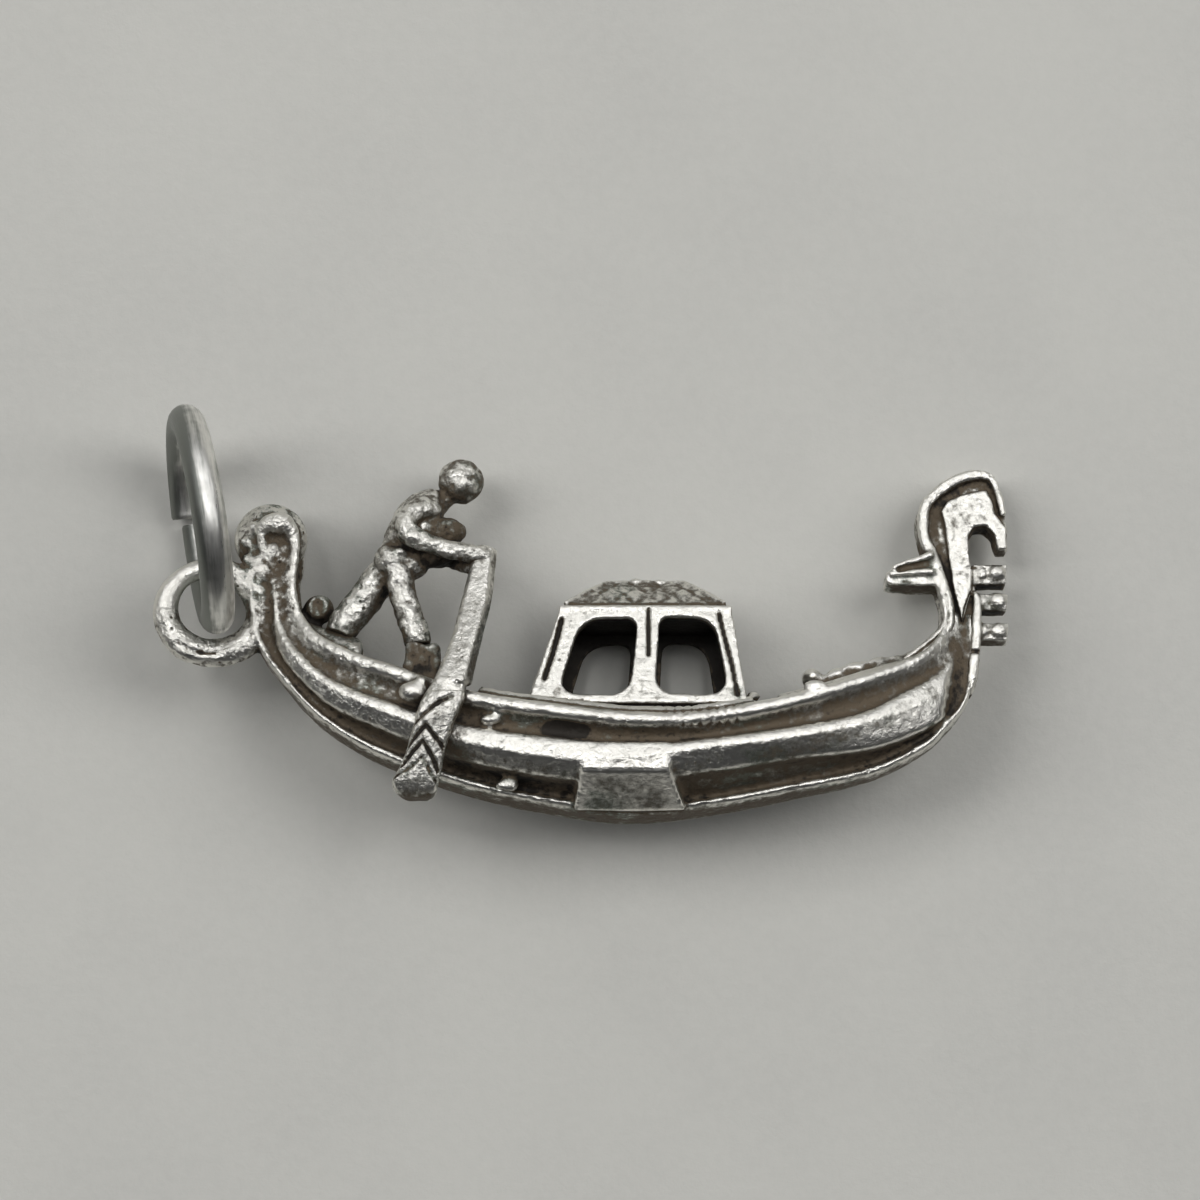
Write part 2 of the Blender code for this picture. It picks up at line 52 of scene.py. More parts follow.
# The stern ball ties the boat's own millimetres to the frame
BALL = (-11.15, 0.0, 9.58)
BALL_RADIUS = 1.27
BALL_FLAT = 0.78

# Hull lines, stern to bow, in columns: rail x, rail h, rim x, rim h, half beam, half bottom, then the
# wale's top, ridge and foot as shares of the depth, how far it stands out, and the rail bead's half width
HULL_LINES = (
    (-10.40, 8.24, -11.74, 8.12, 0.95, 0.80, 0.34, 0.40, 0.46, 0.20, 0.15),
    (-10.37, 7.80, -11.70, 7.46, 0.95, 0.80, 0.34, 0.41, 0.48, 0.60, 0.15),
    (-10.30, 7.20, -11.62, 6.75, 0.95, 0.80, 0.35, 0.43, 0.52, 0.90, 0.16),
    (-10.07, 6.60, -11.38, 5.82, 1.02, 0.80, 0.39, 0.49, 0.62, 1.00, 0.18),
    (-9.50, 5.86, -10.75, 4.85, 1.33, 0.82, 0.44, 0.56, 0.76, 1.00, 0.21),
    (-8.30, 5.14, -9.25, 3.25, 1.74, 0.84, 0.45, 0.57, 0.79, 1.00, 0.24),
    (-6.60, 4.46, -7.25, 2.05, 2.17, 0.86, 0.40, 0.56, 0.76, 1.00, 0.25),
    (-4.24, 3.56, -4.45, 1.02, 2.64, 0.88, 0.37, 0.60, 0.79, 1.00, 0.25),
    (-1.63, 3.09, -1.60, 0.38, 2.92, 0.90, 0.33, 0.60, 0.79, 1.00, 0.25),
    (1.00, 2.78, 1.00, 0.08, 3.00, 0.90, 0.31, 0.51, 0.74, 1.00, 0.25),
    (3.25, 2.83, 3.50, 0.32, 2.93, 0.90, 0.28, 0.43, 0.69, 1.00, 0.25),
    (5.87, 3.35, 6.30, 0.85, 2.66, 0.82, 0.32, 0.48, 0.71, 1.00, 0.24),
    (8.21, 4.07, 9.00, 1.46, 2.13, 0.60, 0.36, 0.50, 0.79, 1.00, 0.20),
    (9.91, 4.76, 10.75, 2.33, 1.58, 0.50, 0.31, 0.53, 0.84, 1.00, 0.19),
    (10.75, 5.20, 11.45, 2.95, 1.26, 0.46, 0.32, 0.58, 0.88, 1.00, 0.18),
    (11.25, 5.70, 12.10, 3.74, 0.94, 0.46, 0.38, 0.72, 0.90, 1.00, 0.18),
    (11.52, 6.15, 12.40, 4.70, 0.70, 0.46, 0.40, 0.60, 0.80, 1.00, 0.17),
    (11.62, 6.60, 12.50, 5.80, 0.56, 0.44, 0.42, 0.50, 0.58, 0.00, 0.16),
    (11.66, 7.05, 12.45, 6.90, 0.46, 0.40, 0.42, 0.50, 0.58, 0.00, 0.15),
)
STEPS_PER_LINE = 9
WALE_END = 11.68

HULL_GRAIN = 0.092
CABIN_GRAIN = 0.055
FINE_GRAIN = 0.048
IRON_GRAIN = 0.045


def put(name, data):
    """A new object in the scene."""
    made = bpy.data.objects.new(name, data)
    bpy.context.scene.collection.objects.link(made)
    return made


# The boat's own millimetres

def at(x, n, h):
    return Vector((x, -n, h))


def boat_to_frame():
    low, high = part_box("stern_ball")
    upright = Matrix.Rotation(-(math.radians(90) + LEAN), 4, "X") @ Matrix.Scale(MM, 4)
    origin = (Vector(low) + Vector(high)) / 2 - upright @ at(*BALL)
    return Matrix.Translation(origin) @ upright


def smooth_path(points, steps=5):
    """More points on a smooth curve through a few."""
    rows = [points[0], *points, points[-1]]
    made = []
    for i in range(1, len(rows) - 2):
        for step in range(steps):
            t = step / steps
            row = []
            for a, b, c, d in zip(*rows[i - 1: i + 3]):
                bend = (2 * a - 5 * b + 4 * c - d) * t * t
                turn = (3 * b - a - 3 * c + d) * t ** 3
                row.append(0.5 * (2 * b + (c - a) * t + bend + turn))
            made.append(tuple(row))
    made.append(tuple(points[-1]))
    return made


# Solids that are later cast into one skin

def sweep(shape, sections):
    """A closed solid drawn through sections with the same number of corners."""
    ring = [shape.verts.new(point) for point in sections[0]]
    edges = [shape.edges.new((a, b)) for a, b in zip(ring, ring[1:] + ring[:1])]
    shape.faces.new(ring)
    for section in sections[1:]:
        made = bmesh.ops.extrude_edge_only(shape, edges=edges)["geom"]
        fresh = {item for item in made if isinstance(item, bmesh.types.BMVert)}
        old = set(ring)
        partner = {}
        for vert in fresh:
            for edge in vert.link_edges:
                if edge.other_vert(vert) in old:
                    partner[edge.other_vert(vert)] = vert
        ring = [partner[vert] for vert in ring]
        for vert, point in zip(ring, section):
            vert.co = point
        edges = [item for item in made
                 if isinstance(item, bmesh.types.BMEdge) and set(item.verts) <= fresh]
    shape.faces.new(ring)


def bar(shape, points, sides=14, deep=1.0, square=1.0):
    """A bar through points given as x, n, h and radius, deep times as thick along n, squarer under 1."""
    places = [at(x, n, h) for x, n, h, radius in points]
    sections = []
    side = Vector((0.0, 1.0, 0.0))
    for i, point in enumerate(places):
        ahead = (places[min(i + 1, len(places) - 1)] - places[max(i - 1, 0)]).normalized()
        side = (side - ahead * side.dot(ahead)).normalized()
        up = ahead.cross(side)
        section = []
        for k in range(sides):
            turn = 2 * math.pi * (k + 0.5) / sides
            across = math.copysign(abs(math.cos(turn)) ** square, math.cos(turn))
            along = math.copysign(abs(math.sin(turn)) ** square, math.sin(turn))
            out = (side * across + up * along) * points[i][3]
            out.y *= deep
            section.append(point + out)
        sections.append(section)
    sweep(shape, sections)


def lump(shape, centre, size, segments=20):
    """A rounded lump of half sizes along x, n and h."""
    x, n, h = size
    matrix = Matrix.Translation(at(*centre)) @ Matrix.Diagonal((x, n, h, 1.0))
    bmesh.ops.create_uvsphere(shape, u_segments=segments, v_segments=segments // 2,
                              radius=1.0, matrix=matrix)


def slab(shape, outline, n_from, n_to):
    """A plate in the boat's upright plane, from one distance out to another."""
    start = [at(x, n_from, h) for x, h in outline]
    stop = [at(x, n_to, h) for x, h in outline]
    sweep(shape, (start, stop))


def drawn(curve):
    """The mesh that a curve draws."""
    holder = bpy.data.objects.new("curve", curve)
    made = bpy.data.meshes.new_from_object(holder)
    bpy.data.objects.remove(holder)
    return made


def plate(shape, outlines, thickness, matrix):
    """A flat plate with openings: the first outline with the others cut from it."""
    data = bpy.data.curves.new("outline", "CURVE")
    data.dimensions = "2D"
    data.fill_mode = "BOTH"
    data.extrude = thickness / 2
    for outline in outlines:
        spline = data.splines.new("POLY")
        spline.points.add(len(outline) - 1)
        for point, (u, v) in zip(spline.points, outline):
            point.co = (u, v, 0.0, 1.0)
        spline.use_cyclic_u = True
    flat = drawn(data)
    flat.transform(matrix)
    shape.from_mesh(flat)
    bmesh.ops.remove_doubles(shape, verts=shape.verts, dist=0.0001)


def rounded(corners, steps=5):
    """An outline with each corner turned on an arc, in columns: u, v, radius."""
    made = []
    count = len(corners)
    for i in range(count):
        corner = Vector(corners[i][:2])
        back = (Vector(corners[i - 1][:2]) - corner).normalized()
        ahead = (Vector(corners[(i + 1) % count][:2]) - corner).normalized()
        start = corner + back * corners[i][2]
        stop = corner + ahead * corners[i][2]
        for step in range(steps + 1):
            t = step / steps
            made.append(tuple((1 - t) ** 2 * start + 2 * t * (1 - t) * corner + t * t * stop))
    return made


# From solids to one cast skin

def fused(shape, grain):
    """One skin over all the solids of a shape, with facets about a grain wide."""
    bmesh.ops.recalc_face_normals(shape, faces=shape.faces)
    data = bpy.data.meshes.new("solids")
    shape.to_mesh(data)
    shape.free()
    solids = put("solids", data)
    skin = solids.modifiers.new("skin", "REMESH")
    skin.mode = "VOXEL"
    skin.voxel_size = grain
    made = bmesh.new()
    made.from_object(solids, bpy.context.evaluated_depsgraph_get())
    bpy.data.objects.remove(solids)
    bpy.data.meshes.remove(data)
    return made


def relax(shape, times):
    for _ in range(times):
        bmesh.ops.smooth_vert(shape, verts=shape.verts, factor=0.5,
                              use_axis_x=True, use_axis_y=True, use_axis_z=True)


def swell(shape, height):
    """Moves each point along its normal by a height that a function of place and normal gives."""
    shape.normal_update()
    moves = [(vert, vert.normal * height(vert.co, vert.normal)) for vert in shape.verts]
    for vert, move in moves:
        vert.co += move


def from_line(x, h, line):
    """How far a point of the upright plane is from a line of points."""
    nearest = 9.0
    for (ax, ah), (bx, bh) in zip(line, line[1:]):
        run = (bx - ax) ** 2 + (bh - ah) ** 2
        share = max(0.0, min(1.0, ((x - ax) * (bx - ax) + (h - ah) * (bh - ah)) / run))
        nearest = min(nearest, math.hypot(x - ax - share * (bx - ax), h - ah - share * (bh - ah)))
    return nearest


def carve(lines):
    """Grooves along lines of the upright plane, each with its width, depth and least distance out."""
    def height(place, normal):
        deepest = 0.0
        for line, width, depth, least in lines:
            side = math.copysign(1.0, least)
            if -place.y * side > abs(least) and -normal.y * side > 0.3:
                away = from_line(place.x, place.z, line) / width
                if away < 2.5:
                    deepest = max(deepest, depth * math.exp(-away ** 4))
        return -deepest
    return height


def crusty(amount):
    """The uneven skin of a small casting: swells and lumps, as strong as amount says at each place."""
    def height(place, normal):
        broad = noise.noise(place * 1.1)
        small = noise.noise(place * 2.7 + Vector((7.0, 1.0, 3.0)))
        grainy = noise.noise(place * 5.2 + Vector((2.0, 9.0, 5.0)))
        return amount(place) * (0.030 * broad + 0.026 * small + 0.016 * grainy)
    return height


RAY_COUNT = 44
GOLDEN_TURN = 2.39996


def even_rays():
    """Directions spread evenly over a ball."""
    made = []
    for i in range(RAY_COUNT):
        rise = 1 - (2 * i + 1) / RAY_COUNT
        flat = math.sqrt(1 - rise * rise)
        turn = i * GOLDEN_TURN
        made.append(Vector((flat * math.cos(turn), flat * math.sin(turn), rise)))
    return made


RAYS = even_rays()


def sheltered(shape, solids, reach=2.4):
    """How much of the view from each point is closed by the boat's own solids, from 0 to 1."""
    shape.normal_update()
    closed = []
    for vert in shape.verts:
        start = vert.co + vert.normal * 0.09
        hidden = 0.0
        whole = 0.0
        for ray in RAYS:
            facing = ray.dot(vert.normal)
            if facing > 0.15:
                whole += facing
                distance = solids.ray_cast(start, ray, reach)[3]
                if distance is not None:
                    hidden += facing * (1 - 0.6 * distance / reach)
        closed.append(hidden / whole)
    return closed


def hollows(shape, reach):
    """How deep each point lies in a hollow, negative on an edge, against the same skin relaxed."""
    before = [vert.co.copy() for vert in shape.verts]
    normals = [vert.normal.copy() for vert in shape.verts]
    relax(shape, reach)
    depth = [(vert.co - place).dot(normal) for vert, place, normal in zip(shape.verts, before, normals)]
    for vert, place in zip(shape.verts, before):
        vert.co = place
    return depth


# How strongly shelter holds tarnish and painted shade, and how strongly wide and small hollows hold tarnish
SHELTER_TARNISH_AND_SHADE = 1.35
WIDE_DIRT = 6.0
SMALL_DIRT = 18.0
# Sides that nothing rubs keep some tarnish, with painted shade on these steep sides, and more of both where
# they are crusty
SIDE_TARNISH_AND_SHADE = 0.20
CRUSTY_SIDE_TARNISH_AND_SHADE = 0.40
# Painted shade: the keel's underside is painted darker and duller than the sides, up to a height
UNDERSIDE_SHADE = 1.1
UNDERSIDE_SHADE_HEIGHT = 4.5


def finish_casting(name, shape, finish, nodes, tarnish_and_shade, amount):
    """Gives each point its tarnish, painted shade and crust, lays the piece in the frame and hides the
    nodes it stands for.
    """
    closed = sheltered(shape, SOLIDS)
    near = hollows(shape, 4)
    wide = hollows(shape, 40)
    # This attribute holds tarnish together with painted shade.
    tarnish_and_shade_layer = shape.verts.layers.float.new("tarnish_and_shade")
    crust_layer = shape.verts.layers.float.new("crust")
    for vert, hidden, small, broad in zip(shape.verts, closed, near, wide):
        # Shelter gives tarnish and painted shade where the boat's own solids close the view; hollows give
        # tarnish
        dirt_and_shade = (SHELTER_TARNISH_AND_SHADE * hidden + WIDE_DIRT * max(-0.05, min(0.06, broad))
                + SMALL_DIRT * max(-0.012, min(0.012, small)))
        crust = amount(vert.co)
        # Tarnish and painted shade on steep sides that nothing rubs
        side_tarnish_and_shade = (SIDE_TARNISH_AND_SHADE + CRUSTY_SIDE_TARNISH_AND_SHADE * min(1.0, crust)) * (1 - abs(vert.normal.y)) ** 1.2
        # Painted shade on the keel's underside
        under = UNDERSIDE_SHADE * max(0.0, -0.55 - vert.normal.z) if vert.co.z < UNDERSIDE_SHADE_HEIGHT else 0.0
        vert[tarnish_and_shade_layer] = dirt_and_shade + side_tarnish_and_shade + under + tarnish_and_shade(vert.co)
        vert[crust_layer] = crust
    bmesh.ops.triangulate(shape, faces=shape.faces)
    bmesh.ops.transform(shape, matrix=TO_FRAME, verts=shape.verts)
    bmesh.ops.recalc_face_normals(shape, faces=shape.faces)
    data = bpy.data.meshes.new(name)
    shape.to_mesh(data)
    shape.free()
    data.shade_smooth()
    data.materials.append(finish)
    piece = put(name, data)
    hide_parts(*nodes)
    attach(piece, "charm")


def blots(spots):
    """Extra tarnish in spots given as x, n, h, half sizes along x, n and h, and amount."""
    def tarnish_and_shade(place):
        total = 0.0
        for x, n, h, wide, deep, tall, amount in spots:
            away = (((place.x - x) / wide) ** 2 + ((-place.y - n) / deep) ** 2
                    + ((place.z - h) / tall) ** 2)
            if away < 4.0:
                total += amount * math.exp(-away * away)
        return total
    return tarnish_and_shade


def along(lines):
    """Extra tarnish along upright lines, each with its half width, amount and least distance out."""
    def tarnish_and_shade(place):
        total = 0.0
        for line, width, amount, least in lines:
            if abs(place.y) > least:
                total = max(total, amount * math.exp(-(from_line(place.x, place.z, line) / width) ** 4))
        return total
    return tarnish_and_shade


def nodes_of(*starts):
    """The nodes whose names begin with one of these."""
    return [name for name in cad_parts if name.startswith(starts)]


def added(*causes):
    return lambda place: sum(cause(place) for cause in causes)


# Finishes

class Nodes:
    """A short way to add and join the nodes of one finish, or of the room."""

    def __init__(self, owner, end):
        self.finish = owner
        self.finish.use_nodes = True
        self.tree = owner.node_tree
        self.end = self.tree.nodes[end]

    def socket(self, value, target):
        """Joins an output to the socket, or sets a constant on it."""
        if isinstance(value, bpy.types.NodeSocket):
            self.tree.links.new(value, target)
        else:
            target.default_value = value

    def add(self, kind, sockets, output, **settings):
        """The named output of a new node with these sockets and settings."""
        node = self.tree.nodes.new(kind)
        for key, value in settings.items():
            setattr(node, key, value)
        for key, value in sockets.items():
            self.socket(value, node.inputs[key])
        return node.outputs[output]

    def give(self, key, value):
        self.socket(value, self.end.inputs[key])

    def place(self):
        """Object coordinates in millimetres."""
        where = self.add("ShaderNodeTexCoord", {}, "Object")
        sockets = {"Vector": where, "Scale": (1 / MM, 1 / MM, 1 / MM)}
        return self.add("ShaderNodeMapping", sockets, "Vector")

    def cloud(self, place, scale, detail=3.0, rough=0.55):
        sockets = {"Vector": place, "Scale": scale, "Detail": detail, "Roughness": rough}
        return self.add("ShaderNodeTexNoise", sockets, "Fac")

    def holes(self, place, scale):
        return self.add("ShaderNodeTexVoronoi", {"Vector": place, "Scale": scale}, "Distance")

    def attribute(self, name, output="Fac"):
        return self.add("ShaderNodeAttribute", {}, output, attribute_name=name)

    def sum(self, kind, first, second):
        return self.add("ShaderNodeMath", {0: first, 1: second}, "Value", operation=kind)

    def plus(self, first, second):
        return self.sum("ADD", first, second)

    def minus(self, first, second):
        return self.sum("SUBTRACT", first, second)

    def times(self, first, second):
        return self.sum("MULTIPLY", first, second)

    def spread(self, value, low, high, to_low=0.0, to_high=1.0):
        sockets = {"Value": value, "From Min": low, "From Max": high, "To Min": to_low, "To Max": to_high}
        return self.add("ShaderNodeMapRange", sockets, "Result", interpolation_type="SMOOTHSTEP")

    def blend(self, share, first, second):
        sockets = {"Factor": share, "A": first, "B": second}
        return self.add("ShaderNodeMix", sockets, "Result", data_type="RGBA")

    def relief(self, height, depth):
        sockets = {"Strength": 1.0, "Distance": depth, "Height": height}
        self.give("Normal", self.add("ShaderNodeBump", sockets, "Normal"))


def finish_nodes(name):
    return Nodes(bpy.data.materials.new(name), "Principled BSDF")


BRIGHT_SILVER = (0.84, 0.822, 0.765, 1)
DULL_GREY = (0.265, 0.252, 0.222, 1)
DULL_GREEN = (0.225, 0.262, 0.228, 1)
TARNISH_AND_SHADE_BROWN = (0.125, 0.098, 0.068, 1)
TARNISH_AND_SHADE_BLACK = (0.026, 0.022, 0.018, 1)
BRIGHT_WIRE = (0.88, 0.87, 0.83, 1)
BLOOM_AND_SHADE_GREY = (0.24, 0.25, 0.23, 1)


def aged_silver(name, relief, tarnish_and_shade=0.0, roughness=0.25):
    """Worn silver: bright on the high places, dull grey and then brown towards the hollows and where
    painted shade is laid, with pits.
    """
    make = finish_nodes(name)
    place = make.place()
    # Tarnish and painted shade, as the castings laid them down
    dirt_and_shade = make.attribute("tarnish_and_shade")
    crusted = make.attribute("crust")
    patches = make.cloud(place, 0.8, 3.0, 0.6)
    specks = make.cloud(place, 4.2, 4.0, 0.62)
    scabs = make.spread(make.cloud(place, 3.1, 5.0, 0.60), 0.46, 0.60)
    mottle = make.times(make.minus(specks, 0.5), make.plus(make.times(crusted, 1.3), 0.9))
    mottle = make.plus(mottle, make.times(scabs, make.times(crusted, 0.32)))
    uneven = make.plus(make.times(patches, 0.9), mottle)
    dirt_and_shade = make.plus(make.plus(dirt_and_shade, uneven), tarnish_and_shade - 0.40)
    pinholes = make.spread(make.holes(place, 2.6), 0.06, 0.20, 1.0, 0.0)
    some = make.spread(make.cloud(place, 1.3, 1.0), 0.46, 0.54)
    pinholes = make.times(make.times(pinholes, some), crusted)
    dirt_and_shade = make.plus(dirt_and_shade, make.times(pinholes, 0.7))
    greyed = make.spread(dirt_and_shade, 0.05, 0.60)
    browned = make.spread(dirt_and_shade, 0.40, 0.95)
    black = make.spread(dirt_and_shade, 1.05, 1.60)
    green = make.times(make.spread(make.cloud(place, 0.33, 2.0), 0.48, 0.62), 0.7)
    dull = make.blend(green, DULL_GREY, DULL_GREEN)
    colour = make.blend(greyed, BRIGHT_SILVER, dull)
    colour = make.blend(browned, colour, TARNISH_AND_SHADE_BROWN)
    colour = make.blend(black, colour, TARNISH_AND_SHADE_BLACK)
    make.give("Base Color", colour)
    rough = make.plus(make.spread(dirt_and_shade, 0.0, 0.9, roughness, 0.62), make.times(specks, 0.10))
    make.give("Roughness", rough)
    make.give("Metallic", make.spread(dirt_and_shade, 0.5, 1.2, 1.0, 0.45))
    grain = make.plus(make.times(make.cloud(place, 3.4, 2.0, 0.5), 1.5), make.times(specks, 1.3))
    grain = make.minus(grain, make.times(scabs, 0.35))
    grain = make.times(grain, make.plus(make.times(crusted, 0.85), 0.15))
    scratches = make.times(make.cloud(place, 11.0, 2.0, 0.6), 0.18)
    height = make.minus(make.plus(grain, scratches), make.times(pinholes, 0.9))
    make.relief(height, relief)
    return make.finish


def drawn_wire_finish():
    """Smooth drawn wire with streaks along it, fine scratches, a grey bloom and painted shade on the side
    that faces the stern.
    """
    make = finish_nodes("drawn_wire")
    place = make.place()
    around = make.attribute("around", "Vector")
    patches = make.cloud(place, 0.7, 3.0, 0.6)
    streaks = make.cloud(around, 2.4, 4.0, 0.65)
    scratches = make.cloud(around, 9.0, 3.0, 0.7)
    sideways = make.add("ShaderNodeSeparateXYZ", {"Vector": around}, "Y")
    # Painted shade: the side of the wire that faces the stern is painted grey.
    edge = make.times(make.spread(make.times(sideways, -1.0), -0.1, 0.95), 0.45)
    bloom_and_shade = make.plus(make.times(patches, 0.5), make.times(streaks, 0.7))
    bloom_and_shade = make.plus(bloom_and_shade, edge)
    make.give("Base Color", make.blend(make.spread(bloom_and_shade, 0.50, 0.84), BRIGHT_WIRE, BLOOM_AND_SHADE_GREY))
    make.give("Metallic", 1.0)
    rough = make.plus(make.spread(bloom_and_shade, 0.4, 0.8, 0.22, 0.40), make.times(scratches, 0.10))
    make.give("Roughness", rough)
    make.relief(make.plus(scratches, make.times(patches, 2.0)), 0.000008)
    return make.finish


# Hull

def hull_stations():
    """Smooth stations through the table of hull lines, each a dict of its columns."""
    names = ("rail_x", "rail_h", "rim_x", "rim_h", "beam", "foot", "top", "ridge", "under", "stand", "bead")
    made = [dict(zip(names, row)) for row in smooth_path(HULL_LINES, STEPS_PER_LINE)]
    for row in made:
        row["depth"] = math.hypot(row["rim_x"] - row["rail_x"], row["rim_h"] - row["rail_h"])
    return made


def on_station(row, share, n, lift=0.0):
    """A point at a share of the way from rail to rim, n out and lift above it."""
    x = row["rail_x"] + share * (row["rim_x"] - row["rail_x"])
    h = row["rail_h"] + share * (row["rim_h"] - row["rail_h"])
    return at(x, n, h + lift)


def hull_half(row):
    """Share of the depth and distance out, from the keel up the outside and down the inside."""
    beam, foot, depth, stand = row["beam"], row["foot"], row["depth"], row["stand"]
    top, ridge, under = row["top"], row["ridge"], row["under"]
    floor_out = 0.84 * beam
    panel_out = max(0.68 * beam, foot - 0.06) - (under - 0.67) / 0.24 * max(0.0, 0.68 * beam - foot)

    def proud(share, by):
        """The wale's skin stands out from the wall that lies behind it."""
        wall = floor_out + (panel_out - floor_out) * max(0.0, share - top) / (under - top)
        place = on_station(row, share, 0.0)
        ends = max(0.0, min(1.0, (WALE_END + 0.15 * (place.z - 4.4) - place.x) / 0.14))
        return wall + stand * ends * (by * beam + 0.07 - wall)

    half = [
        (1.055, foot - 0.45), (1.050, foot - 0.12), (1.035, foot + 0.06), (1.010, foot + 0.17),
        (0.985, foot + 0.22), (0.960, foot + 0.19), (0.945, foot + 0.08), (0.925, foot - 0.01),
        (0.890, foot),
        (0.5 * (under + 0.89), 0.5 * (foot + panel_out) - 0.03), (under + 0.012, panel_out - 0.01),
        (under, proud(under, 0.77)), (under - 0.02, proud(under - 0.02, 0.80)),
        (0.5 * (under + ridge), proud(0.5 * (under + ridge), 0.875)),
        (ridge + 0.012, proud(ridge + 0.012, 0.945)), (ridge - 0.012, proud(ridge - 0.012, 0.962)),
        (0.5 * (ridge + top), proud(0.5 * (ridge + top), 0.955)),
        (top + 0.03, proud(top + 0.03, 0.938)), (top + 0.004, proud(top + 0.004, 0.915)),
        (top - 0.012, floor_out + 0.02), (0.5 * top + 0.06, 0.835 * beam), (0.40 / depth, 0.875 * beam),
    ]
    size = row["bead"]
    high = (0.23 - size) / depth
    middle = beam + 0.06 - size
    for turn in (-48, -20, 5, 35, 65, 90, 120, 150, 180, 215):
        angle = math.radians(turn)
        across = math.copysign(abs(math.cos(angle)) ** 0.75, math.cos(angle))
        half.append((-size * math.sin(angle) / depth - high, middle + size * across))
    half.append((0.40 / depth, max(beam - 0.75, 0.12)))
    half.append((0.80, max(foot - 0.35, 0.08)))
    return half


def hull_section(row):
    half = hull_half(row)
    starboard = [on_station(row, share, n) for share, n in half]
    port = [on_station(row, share, -n) for share, n in reversed(half)]
    return starboard + port


def deck_section(row, crown, inset=0.50):
    """A crowned deck between the rails, sunk a little into the walls."""
    beam = max(row["beam"] - inset, 0.3)
    side = ((1.0, 0.0), (0.9, 0.40), (0.6, 0.72), (0.2, 0.80))
    arch = [(-n, lift) for n, lift in side] + list(reversed(side))
    ring = [on_station(row, 0.0, n * beam, lift * crown) for n, lift in arch]
    ring += [on_station(row, 0.5, n * beam) for n in (0.4, -0.4)]
    return ring


def on_ball(x, h):
    """How far out the stern ball's skin lies at x and h."""
    return BALL_FLAT * math.sqrt(max(0.3, BALL_RADIUS ** 2 - (x - BALL[0]) ** 2 - (h - BALL[2]) ** 2))


# Lumps of casting round the scroll in columns: x, h, radius
CRUMBS = (
    (-11.56, 8.56, 0.26), (-11.34, 8.30, 0.27), (-11.72, 8.22, 0.20), (-11.22, 8.46, 0.18),
    (-11.86, 8.72, 0.15), (-11.62, 9.80, 0.17), (-11.94, 9.30, 0.14), (-11.44, 8.72, 0.17),
    (-11.08, 8.20, 0.15),
)
# The sunk field inside the scroll, on down into the post
SCROLL_FIELD = (
    (-11.72, 7.9), (-10.38, 7.9), (-10.22, 8.7), (-10.20, 9.4), (-10.50, 9.95), (-11.10, 10.25),
    (-11.60, 9.9), (-11.80, 9.2), (-11.80, 8.4),
)


def add_stern_scroll(shape):
    """The post that curls over into a ball, with the rail running up and round on both faces."""
    lump(shape, BALL, (BALL_RADIUS - 0.03, BALL_FLAT * BALL_RADIUS - 0.08, BALL_RADIUS - 0.03), 36)
    slab(shape, SCROLL_FIELD, -0.84, 0.84)
    curl = (
        (-10.28, 7.30, 0.15), (-10.30, 7.97, 0.14), (-10.26, 8.62, 0.15), (-10.24, 9.16, 0.18),
        (-10.36, 9.58, 0.28), (-10.62, 9.86, 0.38), (-10.92, 9.88, 0.38), (-11.20, 9.80, 0.30),
        (-11.36, 9.52, 0.17), (-11.36, 9.20, 0.13), (-11.30, 8.90, 0.13),
    )
    hook = ((-11.32, 8.86, 0.13), (-11.10, 8.80, 0.15), (-10.96, 9.00, 0.14), (-10.98, 9.20, 0.10))
    for side in (1, -1):
        for line in (curl, hook):
            ridge = [(x, side * max(on_ball(x, h) + 0.02, 0.86), h, thick)
                     for x, h, thick in smooth_path(line, 4)]
            bar(shape, ridge, 12, square=0.8)
        for x, h, size in CRUMBS:
            out = side * max(on_ball(x, h) - 0.02, 0.80)
            lump(shape, (x, out, h), (1.2 * size, size * 0.8, 1.1 * size), 12)


LOOP = (-12.94, 0.76, 6.86)
LOOP_LONG = 1.53
LOOP_TALL = 1.41
LOOP_WIRE = 0.49
# The loop's ends overlap, so that it closes
LOOP_STEPS = 62
LOOP_TURN = 372
# Wear from inside where the ring hangs: its depth, the middle of it and its spread in degrees
LOOP_WEAR = 0.14
WORN_AT = 122
WORN_OVER = 58


def add_loop(shape):
    """The cast loop behind the post, uneven and thicker where it joins."""
    points = []
    for i in range(LOOP_STEPS + 1):
        turn = math.radians(LOOP_TURN * i / LOOP_STEPS)
        worn = LOOP_WEAR * math.exp(-((math.degrees(turn) - WORN_AT) / WORN_OVER) ** 2)
        wire = LOOP_WIRE + 0.01 * math.sin(5 * turn) - worn
        points.append((LOOP[0] + (LOOP_LONG + worn) * math.cos(turn),
                       LOOP[1] - 0.36 * max(0.0, math.cos(turn)),
                       LOOP[2] + (LOOP_TALL + worn) * math.sin(turn), wire))
    bar(shape, points, 16)


def add_mark_plate(shape):
    """The bare plate amidships on the starboard side: an upright face over a sloping one."""
    # Corners in columns: n, h, how far the ends flare out
    corners = (
        (2.88, 2.02, 0.0), (2.90, 1.03, 0.05), (1.24, -0.03, 0.60), (1.00, 0.5, 0.55), (2.3, 2.02, 0.0),
    )
    ends = ((-0.56, -0.5), (2.22, 1.0))
    sections = [[at(x + flare * share, n, h) for n, h, share in corners] for x, flare in ends]
    sweep(shape, sections)


# Stern deck and foredeck in columns: aft end, forward end, crown, how fast it falls, from which x,
# and towards which end
DECKS = ((-10.2, -7.9, 1.28, 0.58, -8.7, -1), (5.8, 11.2, 0.80, 0.12, 8.7, 1))
# Knob on the stern deck, and the ends of the coaming amidships
KNOB = (-9.47, 7.14)
COAMING = (-4.0, 5.1)
